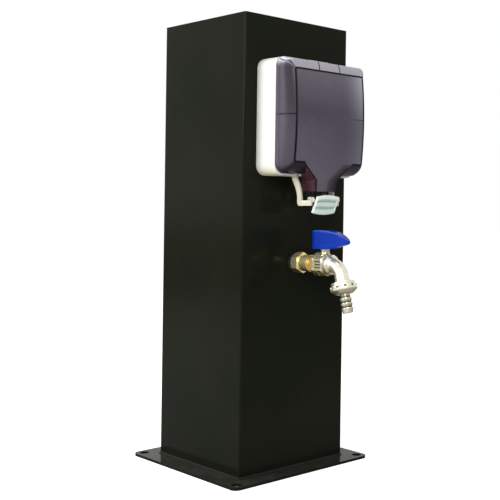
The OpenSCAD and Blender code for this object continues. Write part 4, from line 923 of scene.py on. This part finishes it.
# %% [markdown]
# ## Front panel and neck
# The panel is one crowned sheet with a T outline: a wide field that narrows into the neck over the
# pump. At each height it is a flat loop as wide as the outline, so its half width as a function of
# height is all that is needed. Its mask draws dark edges and marks, paints shade on the right of the
# neck, and paints light towards the top and the right.

# %% Draw the panel over its outline
OUTLINE = [(414.0, 18.6), (414.4, 19.0), (430.0, 20.5), (430.6, 20.9), (453.2, 46.0), (453.9, 47.0),
           (454.05, 62.8), (454.4, 64.4), (455.4, 65.0), (456.5, 65.1), (582.8, 65.1), (584.2, 64.8),
           (585.0, 63.8), (585.3, 62.2)]
PANEL_LOW, PANEL_HIGH, PANEL_WALL = 414.0, 585.3, 2.5
PANEL_FIELD_IN, FRONT_ROUND, BACK_ROUND = 2.3, 0.5, 2.2
SHOULDER_Z, SHOULDER_X, BROW_Z, SIDE_MARK_X = 454.9, 46.0, 584.4, 47.0
NECK_SHADE_Z, NECK_SHADE_X = (456.0, 448.0), (-18.0, -4.0)
RIGHT_Z, RIGHT_X = (515.0, 575.0), (20.0, 62.0)
LEFT_Z, LEFT_X = (525.0, 495.0), (45.0, -55.0)
UPPER_Z, LOWER_Z = (530.0, 580.0), (495.0, 445.0)
EDGE_IN = np.array([0.0, 0.45, 0.95, 1.6])
EDGE_SHADE = np.array([1.0, 1.0, 0.7, 0.0])
MARK_ROWS = np.array([-0.8, -0.3, 0.3, 0.8])
EXTRA_ROWS = [455.0, 455.8, 583.6, 584.6]


def half_width(z):
    """Half width of the panel's outline at height z."""
    return np.interp(z, *np.transpose(OUTLINE))


def panel_mask(x, z, wide, edge):
    """The darkest of edge, shoulders, brow, side mark and painted shade on the neck's right; minus
    painted light elsewhere.
    """
    shoulder = window(z - SHOULDER_Z, 1.1, 0.3) * (np.abs(x) > SHOULDER_X)
    mark = 0.5 * window(z - SIDE_MARK_Z, 0.4, 0.3) * (x > SIDE_MARK_X)
    neck_shade = 0.85 * ramp(z, *NECK_SHADE_Z) * ramp(x - wide, *NECK_SHADE_X)
    dark = np.stack(np.broadcast_arrays(edge, shoulder, 1.0 * (z > BROW_Z), mark, neck_shade)).max(axis=0)
    right_light = (0.11 + 0.28 * ramp(z, *RIGHT_Z)) * ramp(x, *RIGHT_X) ** 2
    left = 0.05 * ramp(z, *LEFT_Z) * ramp(x, *LEFT_X)
    painted_light = right_light + left + 0.095 * ramp(z, *UPPER_Z) + 0.045 * ramp(z, *LOWER_Z)
    return np.where(dark > 0.0, dark, -painted_light)


def shut_ends(rows, axis, first, last):
    """The rows, with one more at each end that lies flat at that coordinate and closes the tube."""
    low, high = rows[:1].copy(), rows[-1:].copy()
    low[..., axis] = first
    high[..., axis] = last
    return join(low, rows, high)


def panel_sheet(across=35):
    """Point = (x across the outline, crown minus depth, z); a loop over the front and the back."""
    z = np.unique(join(linspace(PANEL_LOW, PANEL_HIGH, 150), np.transpose(OUTLINE)[0], EXTRA_ROWS,
                       SIDE_MARK_Z + MARK_ROWS))[:, None]
    wide = half_width(z)
    field = linspace(-1, 1, across) * (wide - PANEL_FIELD_IN)
    x = beside(EDGE_IN - wide, field, wide - EDGE_IN[::-1])
    both = beside(x, x[:, ::-1])
    flat = np.ones(x.shape[1] - 2)
    depth = join([FRONT_ROUND], 0.0 * flat, [FRONT_ROUND, BACK_ROUND], PANEL_WALL * flat, [BACK_ROUND])
    edge = join(EDGE_SHADE, np.zeros(across), EDGE_SHADE[::-1])
    mask = panel_mask(both, z, wide, join(edge, edge[::-1]))
    ends = FRONT_Y - crown(z[[0, -1], 0]) + PANEL_WALL / 2
    skin = shut_ends(place(both, crown(z) - depth, z), 1, *ends)
    return skin, False, True, join(mask[:1], mask, mask[-1:])


make_piece("crowned_panel", [panel_sheet()], "cover", "smoked_plastic", ["front_panel"], crease=35)

# %% [markdown]
# The neck's two side walls follow the panel's outline backwards. Their back edge steps forward
# towards the top, where the shell's floor comes close, and they are thin and wine-tinted.

# %% Stand the neck's walls behind the panel
NECK_WALL, NECK_EDGE, NECK_ROUND, NECK_CLOSE, NECK_UNDER = 2.4, 0.3, 2.2, 1.2, 2.6
NECK_STEPS = [435.5, 439.7]
NECK_BACKS = np.array([34.0, 41.6, 53.0])
LOW_RUN_END, STEP_ROWS, HIGH_RUN = 435.3, [435.8, 437.6, 439.4], (440, 452.8)


def neck_wall(side):
    """A wall along the outline, from behind the panel back to the neck's open edge."""
    z = join(linspace(PANEL_LOW, LOW_RUN_END, 24), STEP_ROWS, linspace(*HIGH_RUN, 15))[:, None]
    outer = half_width(z)
    back = NECK_BACKS[np.digitize(z, NECK_STEPS)]
    front = crown(z) - NECK_UNDER
    inset = np.array([0, 0, NECK_EDGE, NECK_ROUND, NECK_WALL, NECK_WALL, NECK_ROUND, NECK_EDGE])
    loop_out = beside(back + NECK_EDGE, front, front, front, front, back + NECK_EDGE, back, back)
    rows = place(side * (outer - inset), loop_out, z)
    return shut_ends(rows, 0, *(side * (outer[[0, -1], 0] - NECK_CLOSE))), False, True


make_piece("cover_neck", [neck_wall(1), neck_wall(-1)], "cover", "smoked_plastic", crease=35,
           look="smoked_wine")

# %% [markdown]
# ## Push lever
# Two arms of the shell's white plastic, painted a darker cream as shade under the shell, hang from
# pins inside it, sweep forward under it and end in small hooked feet that carry the pad. Each arm is
# a rounded bar carried along a curve. The curve is a cubic one in side view, the bar's section is a
# rounded rectangle that tapers, and its lower part drifts sideways so that it clears the slot in the
# shell.

# %% Carry a rounded bar along a curve
ARM_X, ARM_HALF, FOOT_X, DRIFT_FROM, BLUNT = 33.5, 2.5, 31.0, 0.4, 0.03
ARM_CURVE = [(34, 446), (29, 431), (43, 431), (43.6, 398)]
ARM_WIDE = [4.6, 4.9, 4.6, 3.8]


def curve(points, t):
    """Cubic curve through weighted corners, and its heading, for all t at once."""
    p = np.asarray(points, float)
    s, t = 1 - t[:, None], t[:, None]
    spot = s ** 3 * p[0] + 3 * s ** 2 * t * p[1] + 3 * s * t ** 2 * p[2] + t ** 3 * p[3]
    way = s ** 2 * (p[1] - p[0]) + 2 * s * t * (p[2] - p[1]) + t ** 2 * (p[3] - p[2])
    return spot, way / np.linalg.norm(way, axis=1)[:, None]


def bar(points, mid_x, end_x, half_x, half_w, rows=40, count=32, square=5.0):
    """Section = |cos|^(2/n), |sin|^(2/n) with signs, set square to the curve; drifts late to end_x."""
    t = linspace(0, 1, rows)
    spot, way = curve(points, t)
    wide = np.interp(t, linspace(0, 1, len(half_w)), half_w)[:, None]
    mid = mid_x + (end_x - mid_x) * smooth(ramp(t, DRIFT_FROM, 1.0))[:, None]
    blunt = ramp(np.minimum(t, 1 - t), 0.0, BLUNT)[:, None]
    shrink = 0.75 + 0.25 * np.sqrt(1 - (1 - blunt) ** 2)
    angle = around(count)[:, 0]
    power = 2.0 / square
    u = np.sign(cos(angle)) * np.abs(cos(angle)) ** power * half_x * shrink
    v = np.sign(sin(angle)) * np.abs(sin(angle)) ** power * wide * shrink
    skin = place(mid + u, spot[:, :1] + v * way[:, 1:], spot[:, 1:] - v * way[:, :1])
    first, last = [np.broadcast_to(place(mid[k, 0], *spot[k]), (1, count, 3)) for k in (0, -1)]
    return join(first, skin, last), False, True


print("an arm's grid:", bar(ARM_CURVE, ARM_X, FOOT_X, ARM_HALF, ARM_WIDE)[0].shape)

# %% [markdown]
# A turned eye takes the hinge pin at the top. At the bottom a hooked foot and a slanting link, both
# flat plates with softened outlines, lead to the eye that meets the pad's ear.

# %% Put the arms together
LEVER_OUT, LEVER_Z, EAR_OUT, EAR_Z = 34.0, 446.0, 60.0, 402.0
EYE_X, EYE_HALF, EYE_R, EYE_HOLE = 26.6, 1.8, 4.0, 1.35
PIN_EYE_R, PIN_HOLE = 5.0, 2.05
HOOK = [(39.4, 405), (41.9, 405), (42.9, 401), (47.9, 401), (47.9, 393), (41.9, 393), (39.4, 397)]
LINK = [(28.5, 42.5), (33.3, 43.5), (33.3, 47.5), (27.8, 62.5), (24.8, 63.5), (24.8, 56)]
LINK_LOW, LINK_HIGH = 393.4, 401.0


def slab(outline, low, high, bend, edge):
    """Outline and height of a plate: pole, inset ring, two full rings, inset ring, pole."""
    line = soften(outline, bend)
    middle = line.mean(axis=0)
    way = line - middle
    inset = line - edge * way / np.linalg.norm(way, axis=1)[:, None]
    pole = np.broadcast_to(middle, line.shape)
    flat = np.stack([pole, inset, line, line, inset, pole])
    height = np.array([low, low, low + edge, high - edge, high, high])[:, None]
    return flat[..., 0], flat[..., 1], np.broadcast_to(height, flat.shape[:2])


def arm(side):
    """Sweeping arm, hinge eye, hooked foot and the slanting link to the pad's ear."""
    foot = side * FOOT_X
    hook_out, hook_z, hook_x = slab(HOOK, foot - ARM_HALF, foot + ARM_HALF, bend=0.9, edge=0.5)
    link_x, link_out, link_z = slab(LINK, LINK_LOW, LINK_HIGH, bend=1.0, edge=0.8)
    return [
        bar(ARM_CURVE, side * ARM_X, foot, ARM_HALF, ARM_WIDE),
        disc(LEVER_OUT, LEVER_Z, side * ARM_X, ARM_HALF, PIN_EYE_R, PIN_HOLE),
        (place(hook_x, hook_out, hook_z), False, True),
        (place(side * link_x, link_out, link_z), False, True),
        disc(EAR_OUT, EAR_Z, side * EYE_X, EYE_HALF, EYE_R, EYE_HOLE, edge=0.8),
    ]


make_piece("lever_arms", arm(1) + arm(-1), "lever", "white_plastic", ["push_lever"], crease=40,
           look="shaded_white_plastic")

# %% [markdown]
# ## Push pad
# The pad is a thin moulded wave that fingers push. Its section leans forward, waves twice and has an
# even wall with round ends, and that section is carried across the width. Its height shrinks a
# little towards the sides, so the outline is bowed, and a raised rim runs all round the front.

# %% Bend the pad
PAD_OUT, PAD_Z, PAD_HIGH, PAD_LEAN, PAD_WAVE, PAD_WALL = 61.0, 380.6, 28.5, 10.0, 1.2, 3.2
PAD_HALF, PAD_BOW, PAD_RIM, PAD_END, PAD_BACK = 22.0, 2.6, 0.7, 1.6, 2.4
WAVE_AT, WAVE_LONG, EAR_X = 0.52, 0.4, 22.8
PAD_FLAT, CALM, CALM_X = 20.2, 0.7, (13.0, 21.0)
# Half size and soft edge of the field inside the rim, across the pad and up it
FIELD_X, FIELD_U = (18.0, 0.8), (0.39, 0.04)


def pad_wave():
    """Middle line leans and waves with cos; the wall lies half to each side and ends in half circles."""
    side = PAD_HALF - PAD_END * (1 - cos(linspace(pi / 2, 0, 7)))
    x = join(-side[::-1], linspace(-PAD_FLAT, PAD_FLAT, 41), side)[:, None]
    u = linspace(0, 1, 60)
    wave = cos(2 * pi * (u - WAVE_AT) / WAVE_LONG)
    calm = 1 - CALM * ramp(np.abs(x), *CALM_X) ** 2
    short = PAD_BOW * (x / PAD_HALF) ** 2
    low_z, tall = PAD_Z + PAD_WALL / 2 + short, PAD_HIGH - PAD_WALL - 2 * short
    mid_out = PAD_OUT - PAD_BACK + PAD_LEAN * u + PAD_WAVE * wave * calm
    mid = np.stack([mid_out, low_z + tall * u], axis=-1)
    way = np.gradient(mid, axis=1)
    way /= np.linalg.norm(way, axis=2)[..., None]
    left = np.stack([way[..., 1], -way[..., 0]], axis=-1)
    cap = linspace(0, pi, 10)[1:-1, None]
    top = cos(cap) * left[:, -1:] + sin(cap) * way[:, -1:]
    low = -cos(cap) * left[:, :1] - sin(cap) * way[:, :1]
    ends = np.ones((1, len(cap), 1))
    base = beside(mid, mid[:, -1:] * ends, mid[:, ::-1], mid[:, :1] * ends)
    offset = beside(left, top, -left[:, ::-1], low)
    plain = np.zeros((len(x), base.shape[1] - len(u)))
    inside = window(x, *FIELD_X) * window(u - 0.5, *FIELD_U)
    rim = beside(PAD_RIM * (1 - inside), plain)
    near = ramp(np.abs(x), PAD_HALF - PAD_END, PAD_HALF)
    wall = PAD_WALL / 2 * np.sqrt(np.clip(1 - near ** 2, 0.0, 1)) * (1 + rim / PAD_WALL)
    # Painted shade: the mask darkens the wave's valleys and, a little, the field inside the rim.
    valley = inside * np.clip(0.5 - 0.5 * wave, 0, 1)
    shade = beside(0.25 * inside + 0.75 * valley, plain)
    spot = base + wall[..., None] * offset
    return place(x, spot[..., 0], spot[..., 1]), False, True, shade


ears = [disc(EAR_OUT, EAR_Z, mid_x, EYE_HALF, EYE_R, EYE_HOLE, edge=0.6) for mid_x in (EAR_X, -EAR_X)]
make_piece("wavy_pad", [pad_wave(), *ears], "lever", "pale_mint_plastic", ["push_pad"], crease=45)

# %% [markdown]
# Behind the pad a tongue rises to a round nose that pushes the pump's plunger. It is moulded on as
# one piece on the real lever; here it takes the dark pump plastic as painted shade in the gap under
# the neck, and so is a piece of its own.

# %% Raise the tongue
TONGUE = [(63.4, 395.5), (61.5, 404), (57.4, 408), (57.4, 427)]
TONGUE_HALF, TONGUE_WIDE = 4.0, [2.4, 2.2, 2.1, 2.0]
NOSE_OUT, NOSE_Z, NOSE_R, NOSE_HOLE = 56.8, 427.0, 3.0, 0.4
make_piece("pad_tongue", [bar(TONGUE, 0, 0, TONGUE_HALF, TONGUE_WIDE),
                          disc(NOSE_OUT, NOSE_Z, 0, TONGUE_HALF, NOSE_R, NOSE_HOLE, edge=0.6)],
           "lever", "pump_plastic", crease=45)

# %% [markdown]
# ## Return spring
# The pump's spring is one wire wound four times round the plunger. A tube carried along a helix
# gives it. When the lever is pressed the wire gets shorter along its axis.

# %% Wind the spring
SPRING_LOW, SPRING_LONG, SPRING_R, WIRE_R, SPRING_TURNS = 40.0, 11.0, 7.25, 0.5, 4
SPRING_GAP = 0.1


def spring_wire(rows=240, count=10):
    """Wire middle = helix about the plunger's axis; the section is a circle in the axis' plane."""
    t = linspace(0, 1, rows)[:, None]
    turn_at = 2 * pi * SPRING_TURNS * t
    rise = SPRING_LOW + WIRE_R + SPRING_GAP + (SPRING_LONG - 2 * (WIRE_R + SPRING_GAP)) * t
    angle = around(count)[:, 0]
    r = SPRING_R + WIRE_R * cos(angle)
    return place(r * cos(turn_at), rise + WIRE_R * sin(angle), NOSE_Z + r * sin(turn_at))


spring = make_piece("return_spring", [(spring_wire(), False, True)], "stand", "steel", ["pump_spring"],
                    crease=70)
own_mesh(spring)

# %% [markdown]
# ## Floor and light
# The floor is pale and plain. The white behind the object comes from the floor's and the world's own
# colour as the camera and clear plastic see them, never from stronger lamps. With the lamps' light
# added, the floor comes out pure white, so no shadow shows round the plate. Mirrors see the world
# white too, but not the floor, so the undersides of the tap stay deep. Three large soft lamps light
# the object at a plain level.

# %% Lay the floor and whiten what the camera sees
FLOOR_HALF, FLOOR_DROP = 12.0, 0.0005


def studio_white(tree, light_only, seen_white, kinds):
    """The seen strength where the camera or rays of these kinds look, else the light-only one."""
    rays = tree.nodes.new("ShaderNodeLightPath").outputs
    seen = rays["Is Camera Ray"]
    for kind in kinds:
        seen = wired(tree, "Math", "Value", {0: seen, 1: rays[kind]}, operation="MAXIMUM")
    return stretched(tree, seen, to_low=light_only, to_high=seen_white)


floor_mesh = bpy.data.meshes.new("studio_floor")
floor_corners = [(x * FLOOR_HALF, y * FLOOR_HALF, 0) for x, y in ((-1, -1), (1, -1), (1, 1), (-1, 1))]
floor_mesh.from_pydata(floor_corners, [], [(0, 1, 2, 3)])
floor = put_in_scene("studio_floor", floor_mesh)
floor.location.z = -FLOOR_DROP
pale_floor = bpy.data.materials.new("pale_floor")
pale_floor.use_nodes = True
floor_shader = pale_floor.node_tree.nodes["Principled BSDF"].inputs
for label, value in (("Base Color", (0.8, 0.8, 0.8, 1)), ("Roughness", 0.9),
                     ("Specular IOR Level", 0.0), ("Emission Color", (1, 1, 1, 1))):
    floor_shader[label].default_value = value
floor_glow = studio_white(pale_floor.node_tree, 0.0, 0.8, ["Is Transmission Ray"])
pale_floor.node_tree.links.new(floor_glow, floor_shader["Emission Strength"])
floor_mesh.materials.append(pale_floor)

world = bpy.data.worlds.new("studio")
bpy.context.scene.world = world
world.use_nodes = True
sky = world.node_tree.nodes["Background"].inputs
sky["Color"].default_value = (1, 1, 1, 1)
sky_glow = studio_white(world.node_tree, 0.3, 1.0, ["Is Glossy Ray", "Is Transmission Ray"])
world.node_tree.links.new(sky_glow, sky["Strength"])
print("floor reaches", FLOOR_HALF, "m each way")

# %% [markdown]
# The lamps are large squares, because a small lamp would put hard spots on the gloss paint. One
# stands on the left, one at the front left and one above.

# %% Hang the lamps
def soft_lamp(name, spot, aim, size, power):
    """A square area lamp of that size at spot, turned to look at aim."""
    lamp = bpy.data.lights.new(name, "AREA")
    lamp.size = size
    lamp.energy = power
    holder = put_in_scene(name, lamp)
    holder.location = spot
    holder.rotation_euler = (Vector(spot) - Vector(aim)).to_track_quat("Z", "Y").to_euler()


soft_lamp("left_lamp", (-2.25, 0.8, 1.3), (0, 0, 0.35), size=1.4, power=44)
soft_lamp("front_lamp", (-1.7, -1.9, 1.4), (0, 0, 0.35), size=1.2, power=34)
soft_lamp("top_lamp", (0.1, 0.2, 2.4), (0, 0, 0.3), size=1.6, power=20)
bpy.context.scene.view_settings.view_transform = "Standard"
